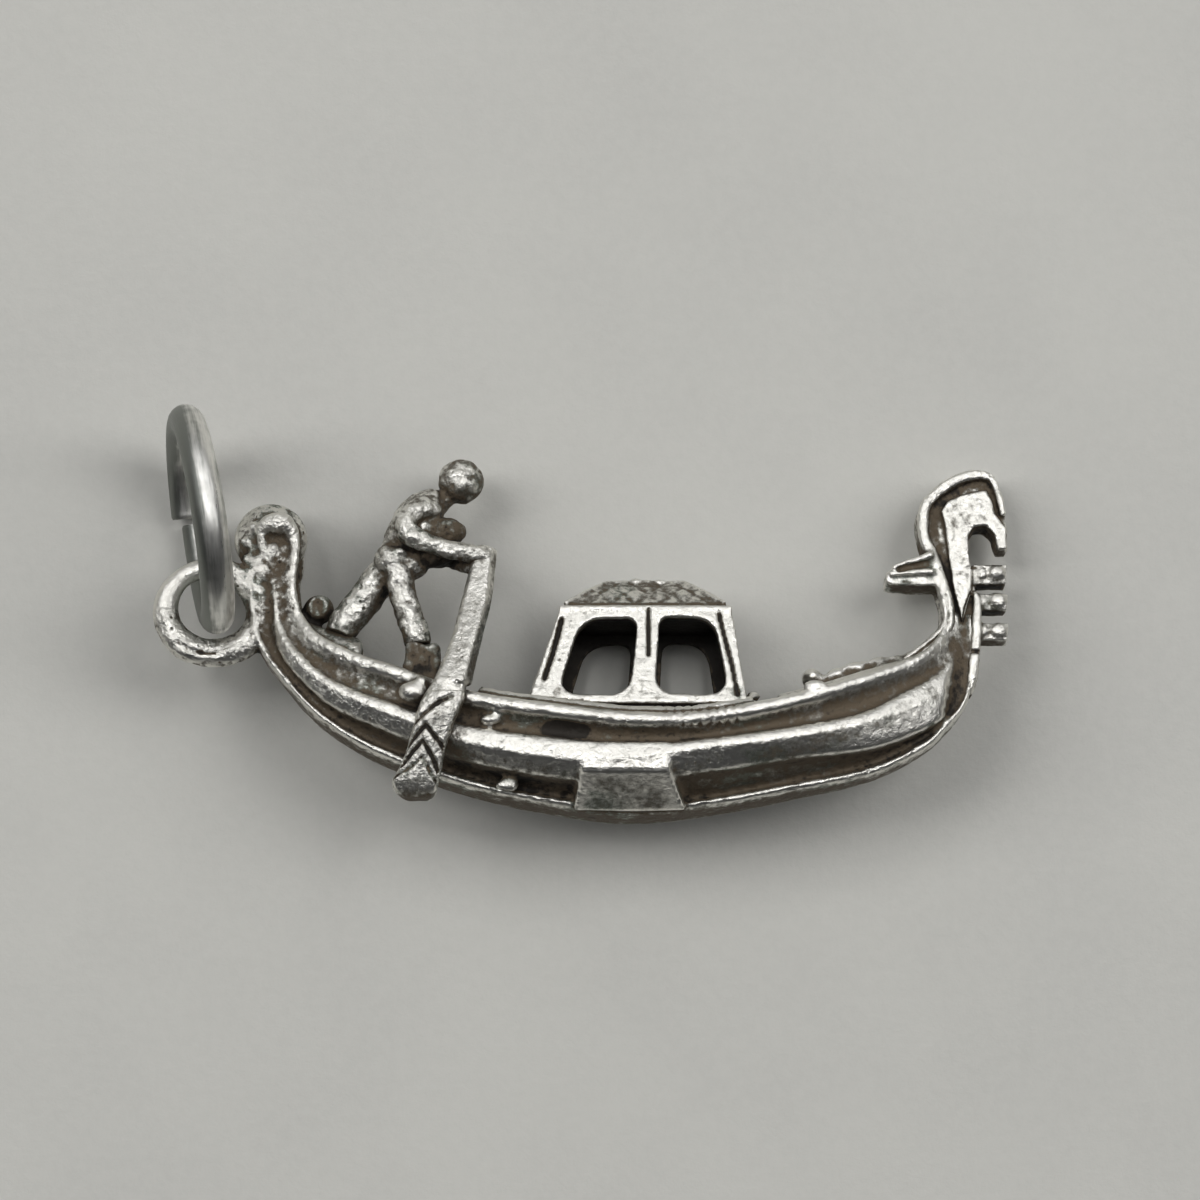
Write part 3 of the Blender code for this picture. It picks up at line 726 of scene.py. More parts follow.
# Crest of the foredeck, then the lumps along it in columns: x, h, half length, half height
CREST = (
    (7.30, 4.1), (7.42, 4.72), (7.78, 4.94), (8.20, 5.14), (8.75, 5.28), (9.40, 5.40), (10.00, 5.46),
    (10.60, 5.66), (11.20, 5.98), (11.3, 5.3), (9.6, 4.4),
)
CREST_LUMPS = (
    (7.10, 4.76, 0.36, 0.33), (7.95, 4.84, 0.36, 0.26), (8.60, 5.06, 0.42, 0.28),
    (9.36, 5.18, 0.40, 0.30), (9.98, 5.24, 0.34, 0.30), (10.52, 5.42, 0.36, 0.30),
)
# Lumps left by the mould and the fork of the rowlock in columns: x, n, h and half sizes
LUMPS = (
    (-3.59, 2.52, 2.80, 0.40, 0.18, 0.17), (-2.98, 1.52, 0.86, 0.34, 0.22, 0.28),
    (-3.28, 1.50, 0.82, 0.16, 0.2, 0.16), (5.02, 2.05, 3.66, 0.24, 0.30, 0.18),
    (7.05, 2.30, 3.98, 0.42, 0.22, 0.20), (-6.08, 2.50, 3.72, 0.54, 0.44, 0.36),
    (-5.85, 2.55, 4.05, 0.22, 0.3, 0.2),
)

# Outline of the thwart, then the lumps on its side in columns: x, h, radius
THWART = ((-6.50, 3.6), (-5.36, 3.5), (-5.30, 5.50), (-5.55, 5.66), (-5.80, 5.56), (-6.20, 5.84),
          (-6.46, 5.60))
THWART_LUMPS = ((-5.50, 5.40, 0.26), (-6.20, 5.46, 0.30), (-5.42, 4.90, 0.22), (-6.32, 4.85, 0.24),
                (-5.86, 5.05, 0.30))


def hull_solids():
    stations = hull_stations()
    shape = bmesh.new()
    sweep(shape, [hull_section(row) for row in stations])
    for aft, fore, crown, fall, start, way in DECKS:
        rows = [row for row in stations if aft <= row["rail_x"] <= fore]
        sweep(shape, [deck_section(row, crown - fall * max(0.0, way * (row["rail_x"] - start)))
                      for row in rows])
    add_stern_scroll(shape)
    add_loop(shape)
    add_mark_plate(shape)
    # Coiled knob on the stern deck, with its eye to each side
    lump(shape, (KNOB[0], 0.0, KNOB[1]), (0.53, 0.42, 0.51))
    for side in (1, -1):
        coil = [(KNOB[0] + 0.31 * math.cos(0.5 * k), side * 0.34, KNOB[1] + 0.30 * math.sin(0.5 * k), 0.13)
                for k in range(14)]
        bar(shape, coil, 10)
    slab(shape, CREST, -0.46, 0.46)
    for x, h, long, tall in CREST_LUMPS:
        lump(shape, (x, 0.0, h), (long, 0.60, tall), 16)
    # Coaming along the rail amidships, that the cabin stands on
    for side in (1, -1):
        bar(shape, [(row["rail_x"], side * (row["beam"] - 0.40), row["rail_h"] + 0.38, 0.12)
                    for row in stations if COAMING[0] <= row["rail_x"] <= COAMING[1]], 10)
    for x, n, h, long, deep, tall in LUMPS:
        lump(shape, (x, n, h), (long, deep, tall), 16)
    # Thwart that the rower's forward foot stands on
    slab(shape, THWART, 0.45, 1.50)
    for x, h, size in THWART_LUMPS:
        lump(shape, (x, 1.42, h), (size, 0.22, size), 12)
    return shape


NICK_PITCH = 0.29
NICK_DEPTH = 0.07
# Crease along the foot of the loop
CREASE = ((-14.05, 5.70), (-13.68, 5.46), (-13.14, 5.32), (-12.62, 5.36))


def finish_hull(shape):
    casting = fused(shape, HULL_GRAIN)
    relax(casting, 1)
    swell(casting, carve(((CREASE, 0.07, 0.10, 0.9),)))

    def nicked(place, normal):
        """Nicks along the rail amidships."""
        if 1.5 < place.x < 4.7 and 2.5 < place.z < 3.3 and -place.y > 2.5:
            beat = math.sin(2 * math.pi * (place.x / NICK_PITCH + 0.4 * noise.noise(place * 2.0)))
            return -NICK_DEPTH * max(0.0, beat) * min(1.0, (place.x - 1.5) * 0.8)
        return 0.0

    def amount(place):
        """Crusty round the stern ball and loop, less so on the foredeck, polished along rails and bow."""
        if place.x < -12.2 and place.z > 6.9:
            return 0.30
        if place.x < -10.0 and place.z > 6.8 or place.x < -11.3:
            return 0.95
        if abs(place.y) < 0.7 and place.z > 4.4 and place.x > 6.8:
            return 0.45
        if place.x > 4.0 and abs(place.y) > 0.9:
            return 0.24
        if -0.7 < place.x < 2.9 and place.z < 1.1 and -place.y > 1.2:
            return 0.12
        return 0.62 if place.x < -7.5 else 0.46

    swell(casting, nicked)
    swell(casting, crusty(amount))
    relax(casting, 1)
    # Stains in columns: x, n, h, half sizes along x, n and h, amount
    stains = blots((
        (-1.35, 2.5, 2.50, 0.55, 0.6, 0.26, 2.3), (-0.85, 2.5, 2.42, 0.50, 0.6, 0.22, 2.3),
        (11.16, 1.3, 2.80, 0.35, 0.5, 0.25, 0.9), (9.12, 1.3, 1.64, 0.3, 0.5, 0.2, 0.5),
        (-10.85, 0.9, 7.6, 0.55, 0.3, 1.2, 0.30), (-5.9, 1.2, 5.1, 1.0, 1.2, 1.0, 0.70),
        (-9.47, 0.2, 7.14, 0.8, 0.9, 0.8, 0.58), (-10.80, 1.0, 9.10, 0.36, 0.5, 0.44, -0.20),
        (-10.85, 1.0, 8.4, 0.40, 0.4, 0.50, 0.12), (-4.6, 2.0, 1.7, 0.5, 0.9, 0.9, 0.30),
        (8.9, 0.0, 5.35, 3.4, 0.62, 0.8, 0.16), (0.85, 2.1, 0.55, 1.5, 1.0, 0.5, -0.12),
        (1.0, 2.55, 3.2, 5.2, 0.45, 0.6, -0.35), (1.0, -2.55, 3.2, 5.2, 0.45, 0.6, -0.35),
        (12.0, 0.8, 4.9, 0.35, 0.6, 1.3, 0.35), (-2.9, 1.5, 0.95, 1.6, 0.8, 0.5, 0.15),
    ))
    # Painted shade along the crease under the coaming
    coaming_crease_shade = [(row["rail_x"], row["rail_h"] + 0.27) for row in hull_stations()
                     if COAMING[0] <= row["rail_x"] <= COAMING[1]]
    dark_lines = along((
        (((11.86, 5.90), (11.98, 5.00), (11.90, 4.20), (11.60, 3.50)), 0.20, 0.6, 0.3),
        (((5.0, 1.78), (6.6, 2.08), (8.4, 2.62), (9.7, 3.32), (10.8, 4.00)), 0.46, 0.42, 0.5),
        (((7.6, 3.30), (8.9, 3.80), (10.2, 4.42), (11.0, 5.00)), 0.30, 0.40, 0.5),
        (coaming_crease_shade, 0.05, 0.9, 1.8),
    ))

    def ball_rim_shade(place):
        """Painted shade: the ball is painted darker round its rim, so that it is bright on its scroll only.
        """
        if place.x > -9.8 or place.z < 8.3:
            return 0.0
        return 0.20 * max(0.0, min(1.0, (math.hypot(place.x + 10.95, place.z - 9.40) - 0.80) / 0.35))

    names = nodes_of("hull_", "gunwale_", "wale_", "stern_", "foredeck")
    names += ["suspension_loop", "mark_plate", "deck_knob", "figure_step", "oarlock"]
    tarnish_and_shade = added(stains, dark_lines, ball_rim_shade)
    finish_casting("hull_casting", casting, HULL_SILVER, names, tarnish_and_shade, amount)


# Rower and oar

# Bars of the rower through points in columns x, n, h and radius, then steps, sides, how deep, how square
ROWER_BARS = (
    # Two legs with square cuffs
    (((-7.05, 0.62, 8.55, 0.54), (-7.55, 0.58, 7.85, 0.56), (-8.10, 0.55, 7.08, 0.55),
      (-8.58, 0.52, 6.42, 0.54), (-8.72, 0.52, 6.14, 0.50)), 4, 16, 1.15, 0.85),
    (((-6.85, 1.10, 8.45, 0.48), (-6.62, 1.12, 7.55, 0.47), (-6.42, 1.12, 6.80, 0.45),
      (-6.16, 1.12, 6.10, 0.49), (-6.08, 1.12, 5.62, 0.43)), 4, 16, 1.15, 0.85),
    # Waist, chest and rounded back, then the hem of the jacket
    (((-7.02, 0.80, 8.50, 0.52), (-6.74, 0.80, 9.00, 0.64), (-6.35, 0.78, 9.62, 0.80),
      (-6.05, 0.75, 10.18, 0.80), (-5.66, 0.74, 10.62, 0.58), (-5.35, 0.72, 10.82, 0.34)),
     5, 20, 1.10, 1.0),
    (((-7.42, 0.80, 8.98, 0.12), (-7.12, 1.45, 8.86, 0.13), (-6.62, 1.62, 8.72, 0.13),
      (-6.20, 1.30, 8.62, 0.12)), 4, 8, 1.0, 1.0),
    # The near arm bent over the oar, and the far one under it
    (((-5.75, 1.46, 10.30, 0.36), (-6.24, 1.66, 10.06, 0.38), (-6.48, 1.82, 9.66, 0.37),
      (-6.34, 1.90, 9.24, 0.37), (-5.86, 1.92, 8.98, 0.34), (-5.20, 1.88, 8.80, 0.31),
      (-4.55, 1.80, 8.66, 0.30), (-4.05, 1.72, 8.58, 0.33)), 4, 14, 1.0, 1.0),
    (((-5.95, 0.0, 9.9, 0.34), (-5.55, 0.15, 9.05, 0.30), (-5.05, 0.50, 8.70, 0.27),
      (-4.40, 1.10, 8.34, 0.26)), 4, 12, 1.0, 1.0),
)
NECK = ((-5.62, 0.74, 10.48, 0.42), (-5.15, 0.73, 10.90, 0.34), (-4.85, 0.72, 11.20, 0.38))
# Hips, jacket and hands in columns: centre, half sizes
ROWER_LUMPS = (
    ((-6.90, 0.86, 8.56), (0.72, 0.88, 0.66)), ((-5.24, 1.06, 9.58), (0.78, 0.60, 0.50)),
    ((-5.50, 0.98, 8.76), (0.70, 0.55, 0.42)), ((-6.28, 0.92, 8.52), (0.52, 0.66, 0.56)),
    ((-5.85, 1.05, 9.62), (0.60, 0.60, 0.56)), ((-5.92, 1.22, 10.28), (0.66, 0.60, 0.54)),
    ((-3.92, 1.66, 8.60), (0.42, 0.44, 0.36)), ((-4.25, 1.30, 8.28), (0.32, 0.34, 0.28)),
)


def rower_solids():
    shape = bmesh.new()
    for line, steps, sides, deep, square in ROWER_BARS:
        bar(shape, smooth_path(line, steps), sides, deep, square)
    bar(shape, NECK, 14)
    for centre, size in ROWER_LUMPS:
        lump(shape, centre, size)
    # Head
    lump(shape, (-4.71, 0.72, 11.42), (0.77, 0.76, 0.77), 28)
    return shape


def finish_rower(shape):
    casting = fused(shape, FINE_GRAIN)
    relax(casting, 4)
    swell(casting, crusty(lambda place: 1.7))
    relax(casting, 1)
    stains = blots((
        (-6.75, 1.4, 8.85, 0.55, 0.8, 0.35, 0.45), (-5.10, 1.3, 9.62, 0.66, 0.6, 0.40, 0.85),
        (-5.50, 1.2, 8.50, 0.8, 0.6, 0.30, 0.7), (-4.95, 0.9, 10.85, 0.45, 0.6, 0.35, 0.5),
        (-7.05, 1.0, 7.75, 0.40, 0.6, 0.50, 0.35), (-5.2, 1.0, 8.4, 0.8, 0.8, 0.25, 0.4),
        (-6.3, 1.0, 6.0, 0.5, 0.8, 0.2, 0.4),
    ))

    def head_rim_shade(place):
        """Painted shade: the head is painted darker round its rim, so that it is bright only in its middle.
        """
        away = math.hypot(place.x + 4.62, place.z - 11.30)
        return 0.28 * max(0.0, min(1.0, (away - 0.22) / 0.40)) if away < 0.9 and place.z > 10.8 else 0.0

    names = nodes_of("figure_arm_", "figure_head", "figure_leg_", "figure_torso")
    finish_casting("rower", casting, ROUGH_SILVER, names, added(stains, head_rim_shade), lambda place: 0.72)


# Loom in columns: left edge x, ridge x, right edge x, h, n of the ridge
LOOM = (
    (-4.24, -3.62, -3.42, 8.84, 1.88), (-4.30, -3.68, -3.46, 8.30, 1.98),
    (-4.58, -3.80, -3.58, 6.98, 2.32), (-4.82, -4.05, -3.82, 5.78, 2.70),
    (-5.12, -4.28, -4.02, 4.81, 3.02), (-5.45, -4.46, -4.18, 3.90, 3.30),
)
# Blade in columns: left x, right x, h, n of the face
BLADE = (
    (-5.42, -4.30, 4.05, 3.26), (-5.86, -4.44, 3.30, 3.36), (-6.06, -4.72, 2.60, 3.30),
    (-6.28, -4.98, 1.80, 3.14), (-6.54, -5.12, 1.15, 3.00), (-6.76, -5.22, 0.80, 2.90),
    (-6.70, -5.28, 0.46, 2.70), (-6.44, -5.42, 0.26, 2.44),
)
# Folds across the blade, then their half width, depth and least distance out
FOLDS = (
    (((-6.05, 2.55), (-5.40, 3.10), (-4.80, 3.42)), 0.07, 0.10, 2.0),
    (((-6.38, 1.70), (-5.66, 2.48), (-5.30, 2.05), (-5.02, 1.72)), 0.07, 0.11, 2.0),
    (((-6.46, 1.22), (-5.75, 1.98), (-5.42, 1.45), (-5.22, 0.98)), 0.07, 0.11, 2.0),
    (((-6.74, 0.86), (-6.20, 1.10), (-5.75, 1.42), (-5.40, 0.80), (-5.25, 0.66)), 0.055, 0.09, 2.0),
)


def oar_solids():
    shape = bmesh.new()
    sections = []
    for left, ridge, right, h, n in smooth_path(LOOM, 4):
        corners = ((left, 0.20), (left + 0.12, 0.06), (ridge - 0.05, -0.03), (ridge + 0.05, 0.02),
                   (right, 0.46), (right - 0.10, 0.80), (left + 0.15, 0.80), (left, 0.55))
        sections.append([at(x, n - back, h) for x, back in corners])
    sweep(shape, sections)
    sections = []
    for left, right, h, n in smooth_path(BLADE, 4):
        middle = (left + right) / 2
        corners = ((left, 0.40), (left + 0.10, 0.14), (middle - 0.1, -0.02), (right - 0.08, 0.14),
                   (right, 0.40), (right - 0.2, 0.9), (left + 0.2, 0.9))
        sections.append([at(x, n - back, h) for x, back in corners])
    sweep(shape, sections)
    return shape


def finish_oar(shape):
    casting = fused(shape, FINE_GRAIN)
    relax(casting, 3)
    swell(casting, carve(FOLDS))

    def amount(place):
        return 0.4 if place.z > 3.6 or place.z < 0.7 else 0.7

    swell(casting, crusty(amount))
    relax(casting, 1)
    stains = blots((
        (-3.6, 1.5, 6.5, 0.3, 0.8, 2.2, 0.15), (-5.2, 2.6, 3.3, 0.8, 0.6, 0.35, 0.15),
    ))
    finish_casting("oar", casting, ROUGH_SILVER, ("oar_shaft", "oar_blade"), stains, amount)


# Cabin in columns where it names foot and head: the walls lean in and the ends lean together

CABIN_OUT_FOOT = 2.48
CABIN_OUT_HEAD = 1.98
CABIN_FOOT = 3.58
CABIN_HEAD = 6.64
CABIN_AFT = (-2.38, -1.32)
CABIN_FORE = (4.84, 4.35)
SIDE_WALL = 0.38
END_WALL = 0.30


def add_cabin_side(shape, side):
    """One side wall with its two windows and the rounded rail over them."""
    tall = CABIN_HEAD - CABIN_FOOT
    lean_in = math.atan2(CABIN_OUT_FOOT - CABIN_OUT_HEAD, tall)
    slope = tall / math.cos(lean_in)
    upright = Matrix.Rotation(math.radians(90) - side * lean_in, 4, "X")
    whole = ((CABIN_AFT[0], -0.25), (CABIN_FORE[0], -0.25),
             (CABIN_FORE[1], slope + 0.05), (CABIN_AFT[1], slope + 0.05))
    # Windows in columns: u, v from the foot, corner radius; smaller on the port side
    trim = 0.16 if side < 0 else 0.0
    aft = rounded(((-1.40 + trim, 0.08, 0.75), (0.98 - trim, 0.05, 0.75),
                   (1.25 - trim, 2.80, 0.45), (-0.62 + trim, 2.80, 0.80)))
    fore = rounded(((1.80 + trim, 0.10, 0.70), (4.24 - trim, 0.06, 0.80),
                    (3.76 - trim, 2.80, 0.70), (1.98 + trim, 2.84, 0.35)))
    place = Matrix.Translation(at(0.0, side * (CABIN_OUT_FOOT - SIDE_WALL / 2), CABIN_FOOT)) @ upright
    plate(shape, [whole, aft, fore], SIDE_WALL, place)


def cabin_solids():
    shape = bmesh.new()
    for side in (1, -1):
        add_cabin_side(shape, side)
    tall = CABIN_HEAD - CABIN_FOOT
    foot_half = CABIN_OUT_FOOT - 0.12
    head_half = CABIN_OUT_HEAD - 0.12
    across = Matrix.Rotation(math.radians(90), 4, "Z") @ Matrix.Rotation(math.radians(90), 4, "X")
    for (foot_x, head_x), inward in ((CABIN_AFT, 1), (CABIN_FORE, -1)):
        lean = math.atan2(head_x - foot_x, tall)
        high = math.hypot(head_x - foot_x, tall)
        wall = ((-foot_half, -0.2), (foot_half, -0.2), (head_half, high), (-head_half, high))
        door = rounded(((-1.0, 0.35, 0.4), (1.0, 0.35, 0.4),
                        (0.9, high - 0.45, 0.4), (-0.9, high - 0.45, 0.4)))
        foot_line = Matrix.Translation(at(foot_x + 0.17 * inward, 0.0, CABIN_FOOT))
        plate(shape, [wall, door], END_WALL, foot_line @ Matrix.Rotation(lean, 4, "Y") @ across)
    sill = ((-2.44, -2.30), (4.92, -2.30), (4.92, 2.30), (-2.44, 2.30))
    well = ((-1.9, -1.75), (4.4, -1.75), (4.4, 1.75), (-1.9, 1.75))
    plate(shape, [sill, well], 0.62, Matrix.Translation(at(0.0, 0.0, 3.28)))
    # Roof rings in columns: x from, x to, half width, h
    rings = (
        (-1.38, 4.40, 2.02, 6.66), (-1.34, 4.36, 1.98, 6.80), (-1.10, 4.12, 1.70, 6.84),
        (-0.40, 3.50, 1.12, 7.46), (0.18, 2.88, 0.42, 7.95), (0.42, 2.62, 0.20, 7.98),
    )
    sweep(shape, [[at(a, -w, h), at(b, -w, h), at(b, w, h), at(a, w, h)] for a, b, w, h in rings])
    # Hips and ridge of the roof
    for side in (1, -1):
        for foot_x, head_x in ((-1.16, 0.24), (4.16, 2.82)):
            hip = ((foot_x, side * 1.74, 6.90, 0.10), (0.5 * (foot_x + head_x), side * 1.06, 7.46, 0.10),
                   (head_x, side * 0.38, 7.96, 0.10))
            bar(shape, hip, 10)
        ridge = ((0.2, 7.96, 0.10), (1.5, 7.99, 0.11), (2.86, 7.95, 0.10))
        bar(shape, [(x, side * 0.38, h, thick) for x, h, thick in ridge], 10)
    return shape


AFT_POST = ((-1.27, 6.32), (-1.41, 5.69), (-1.58, 5.04), (-1.83, 4.22))
FORE_POST = ((3.93, 6.50), (4.10, 5.69), (4.33, 4.71), (4.50, 3.66))
MULLION = ((1.61, 6.70), (1.61, 5.80), (1.59, 5.06))
# Grooves in columns: line, half width, depth, least distance out
CABIN_GROOVES = (
    (AFT_POST, 0.065, 0.20, 1.5), (FORE_POST, 0.055, 0.13, 1.5), (MULLION, 0.048, 0.14, 1.5),
    (AFT_POST, 0.065, 0.20, -1.5), (FORE_POST, 0.055, 0.13, -1.5), (MULLION, 0.042, 0.11, -1.5),
)
# Dark lines round the quilted slope of the roof: a painted shadow in the gap between the eave and the wall,
# then dark lines on the hips and ridge
ROOF_SHADOW_AND_LINES = (
    (((-0.95, 6.93), (4.00, 6.93)), 0.05, 0.4, 0.5),
    (((-0.66, 6.98), (-0.20, 7.26), (0.34, 7.78)), 0.07, 0.3, 0.3),
    (((3.70, 6.98), (3.27, 7.26), (2.70, 7.78)), 0.07, 0.3, 0.3),
    (((0.34, 7.80), (2.70, 7.80)), 0.06, 0.25, 0.2),
)


ROOF_FOOT = 6.98
TILE_LONG = 0.40
TILE_TALL = 0.41


def quilt(place):
    """Height from 0 in the seams to 1 on the peaks of the small pyramids over the roof."""
    wavy = 0.08 * noise.noise(place * 1.7)
    across = (place.x + wavy) / TILE_LONG
    down = (place.z - ROOF_FOOT) / TILE_TALL
    first = abs((across + down) % 2.0 - 1.0)
    second = abs((across - down) % 2.0 - 1.0)
    return min(1.0, 1.7 * min(first, second))


def finish_cabin(shape):
    casting = fused(shape, CABIN_GRAIN)
    relax(casting, 1)
    swell(casting, carve(CABIN_GROOVES))

    def tiles(place, normal):
        slope = 1.25 * (place.z - ROOF_FOOT)
        if place.z < 6.95 or normal.z < 0.2 or not -0.62 + slope < place.x < 3.66 - slope:
            return 0.0
        return 0.06 * quilt(place) - 0.035

    def walls_in(place):
        """How far out the side wall's middle stands at this height."""
        share = (place.z - CABIN_FOOT) / (CABIN_HEAD - CABIN_FOOT)
        return CABIN_OUT_FOOT + share * (CABIN_OUT_HEAD - CABIN_OUT_FOOT) - 0.10

    def inside_shade_and_roof_seams(place):
        """Painted shade, black inside the cabin; grey on the roof with dark seams."""
        if place.z > 6.84:
            return 0.20 - 0.12 * (1 - quilt(place))
        inside = max(0.0, min(1.0, (walls_in(place) - abs(place.y)) / 0.16))
        if -2.1 < place.x < 4.6 and place.z > 3.2:
            return 1.5 * inside
        return 0.0

    swell(casting, tiles)
    relax(casting, 1)

    def amount(place):
        return 0.55 if place.z > 6.85 else 0.42

    swell(casting, crusty(amount))
    stains = blots((
        (4.55, 2.5, 3.75, 0.3, 0.4, 0.3, 0.5),
    ))
    tarnish_and_shade = added(stains, inside_shade_and_roof_seams, along(ROOF_SHADOW_AND_LINES))
    finish_casting("cabin", casting, CABIN_SILVER, nodes_of("cabin_"), tarnish_and_shade, amount)


# Bow iron

IRON = (
    (12.06, 5.6), (11.84, 6.40), (11.80, 7.20), (11.58, 8.20), (11.10, 8.80), (10.93, 9.10),
    (10.74, 9.60), (10.68, 10.14), (10.90, 10.66), (11.42, 11.28), (12.15, 11.76), (12.77, 11.88),
    (13.24, 11.84), (13.48, 11.50), (13.66, 10.94), (13.75, 9.79), (13.74, 9.06), (13.40, 9.06),
    (13.28, 9.62), (13.00, 9.88), (12.64, 9.84), (12.46, 9.50), (12.44, 8.80), (12.60, 7.9),
    (12.76, 7.2), (12.78, 6.2), (12.74, 5.4), (12.62, 4.7), (12.42, 4.14), (12.16, 4.1), (12.1, 5.0),
)
INNER = (
    (11.51, 10.47), (11.74, 10.79), (12.26, 11.01), (13.08, 11.20), (13.26, 10.74), (13.34, 10.38),
    (13.70, 9.85), (13.72, 9.10), (13.40, 9.10), (13.28, 9.66), (13.00, 9.93), (12.62, 9.89),
    (12.44, 9.55), (12.42, 8.96), (12.50, 8.26), (12.46, 7.60), (12.14, 6.57), (12.00, 7.19),
    (11.84, 7.89), (11.73, 8.96), (11.66, 9.85),
)
# Border ridge in columns: x, h, half width
BORDER = (
    (9.60, 4.90, 0.12), (10.30, 5.30, 0.16), (10.90, 5.72, 0.20), (11.32, 6.08, 0.22),
    (11.58, 6.36, 0.23), (11.68, 6.72, 0.23), (11.63, 7.30, 0.23), (11.45, 8.10, 0.22),
    (11.21, 8.86, 0.21), (10.97, 9.42, 0.20), (10.90, 10.06, 0.20), (11.02, 10.63, 0.20),
    (11.33, 11.02, 0.20), (11.82, 11.40, 0.20), (12.32, 11.64, 0.19), (12.80, 11.73, 0.18),
    (13.19, 11.66, 0.16), (13.40, 11.30, 0.14), (13.54, 10.80, 0.12), (13.62, 10.3, 0.10),
)
STRIP = (
    (12.58, 7.66, 0.08), (12.66, 7.30, 0.13), (12.62, 6.70, 0.17), (12.58, 6.0, 0.18),
    (12.52, 5.4, 0.19), (12.44, 4.82, 0.18), (12.36, 4.44, 0.13), (12.28, 4.20, 0.08),
)
BARB_TOP = ((9.82, 8.40, 0.09), (10.25, 8.58, 0.10), (10.72, 8.72, 0.11), (11.20, 8.90, 0.12))
BARB_FOOT = ((9.72, 8.20, 0.10), (10.18, 8.24, 0.10), (10.76, 8.28, 0.10), (11.20, 8.30, 0.12))
# The iron's raised bars in columns: line, distance out, squareness
IRON_BARS = ((BORDER, 0.44, 0.7), (STRIP, 0.44, 0.6), (BARB_TOP, 0.68, 0.8), (BARB_FOOT, 0.68, 0.8))
# Teeth in columns: foot h, head h, foot x
TEETH = ((7.92, 8.60, 12.55), (7.02, 7.58, 12.60), (5.98, 6.58, 12.60))
# Dark lines: the groove between border and plate, the brown stem under it, and the barb
IRON_STAINS = (
    (((13.30, 11.42), (12.90, 11.42), (12.40, 11.32), (11.90, 11.06), (11.48, 10.70), (11.30, 10.30),
      (11.32, 9.80), (11.50, 9.10), (11.68, 8.30), (11.86, 7.50), (11.96, 6.90)), 0.14, 0.5, 0.2),
    (((11.98, 6.90), (12.10, 6.20), (12.10, 5.40), (12.00, 4.60), (11.80, 4.00)), 0.22, 0.75, 0.2),
    (((10.05, 8.36), (10.60, 8.48), (11.10, 8.58)), 0.13, 0.25, 0.3),
)


def bow_iron_solids():
    shape = bmesh.new()
    slab(shape, IRON, -0.34, 0.34)
    slab(shape, INNER, -0.58, 0.58)
    for side in (1, -1):
        for line, out, square in IRON_BARS:
            bar(shape, smooth_path([(x, side * out, h, wide) for x, h, wide in line], 3), 12, 1.1, square)
    # Barb behind the neck, wide across the boat
    barb = (
        (11.30, 8.80), (10.62, 8.70), (9.94, 8.46), (9.62, 8.30), (9.60, 7.96), (9.78, 7.84),
        (10.90, 7.82), (11.40, 7.84), (11.50, 8.2),
    )
    slab(shape, barb, -0.66, 0.66)
    for low, high, foot_x in TEETH:
        middle = (low + high) / 2
        slab(shape, ((foot_x, low), (13.66, low), (13.70, high), (foot_x, high)), -0.44, 0.44)
        for side in (1, -1):
            lump(shape, (13.36, side * 0.32, middle + 0.04), (0.36, 0.28, 0.30), 12)
            lump(shape, (12.86, side * 0.30, middle + 0.02), (0.22, 0.24, 0.26), 12)
    return shape


IRON_GROOVES = (
    (((12.30, 5.56), (12.80, 5.54)), 0.06, 0.14, 0.4),
    (((12.36, 8.46), (12.62, 8.50)), 0.05, 0.06, 0.4),
    (((12.48, 7.60), (12.24, 6.90), (12.20, 6.50)), 0.06, 0.12, 0.4),
    (((10.05, 8.36), (10.60, 8.48), (11.00, 8.58)), 0.10, 0.05, 0.5),
    (((9.80, 5.00), (10.60, 5.48), (11.24, 5.98), (11.62, 6.42), (11.66, 6.90), (11.60, 7.50)),
     0.05, 0.05, 0.4),
)


def finish_bow_iron(shape):
    casting = fused(shape, IRON_GRAIN)
    relax(casting, 2)
    swell(casting, carve(IRON_GROOVES))
    swell(casting, crusty(lambda place: 0.9))
    relax(casting, 1)
    stains = blots((
        (12.9, 0.3, 9.7, 0.35, 0.6, 0.25, 0.35), (13.2, 0.3, 8.0, 0.6, 0.6, 0.25, 0.25),
        (13.2, 0.3, 7.1, 0.6, 0.6, 0.25, 0.25), (13.2, 0.3, 6.1, 0.6, 0.6, 0.25, 0.25),
        (10.3, 0.5, 7.85, 0.9, 0.8, 0.14, 0.5), (11.1, 0.0, 9.0, 0.3, 0.8, 0.3, 0.25),
    ))
    tarnish_and_shade = added(stains, along(IRON_STAINS))
    finish_casting("bow_iron", casting, IRON_SILVER, nodes_of("bow_iron_"), tarnish_and_shade, lambda place: 0.5)


# Jump ring

RING_RADIUS = 3.29
RING_WIRE = 0.55
RING_SWAY = 0.66
RING_SLANT = math.radians(7.7)
RING_TWIST = 0.155
RING_CUT = math.radians(1.8)
RING_POINTS = 240
RING_HINGE = (-13.00, 0.76, 8.55)
RING_FROM_HINGE = (-0.22, 1.451, 1.52)


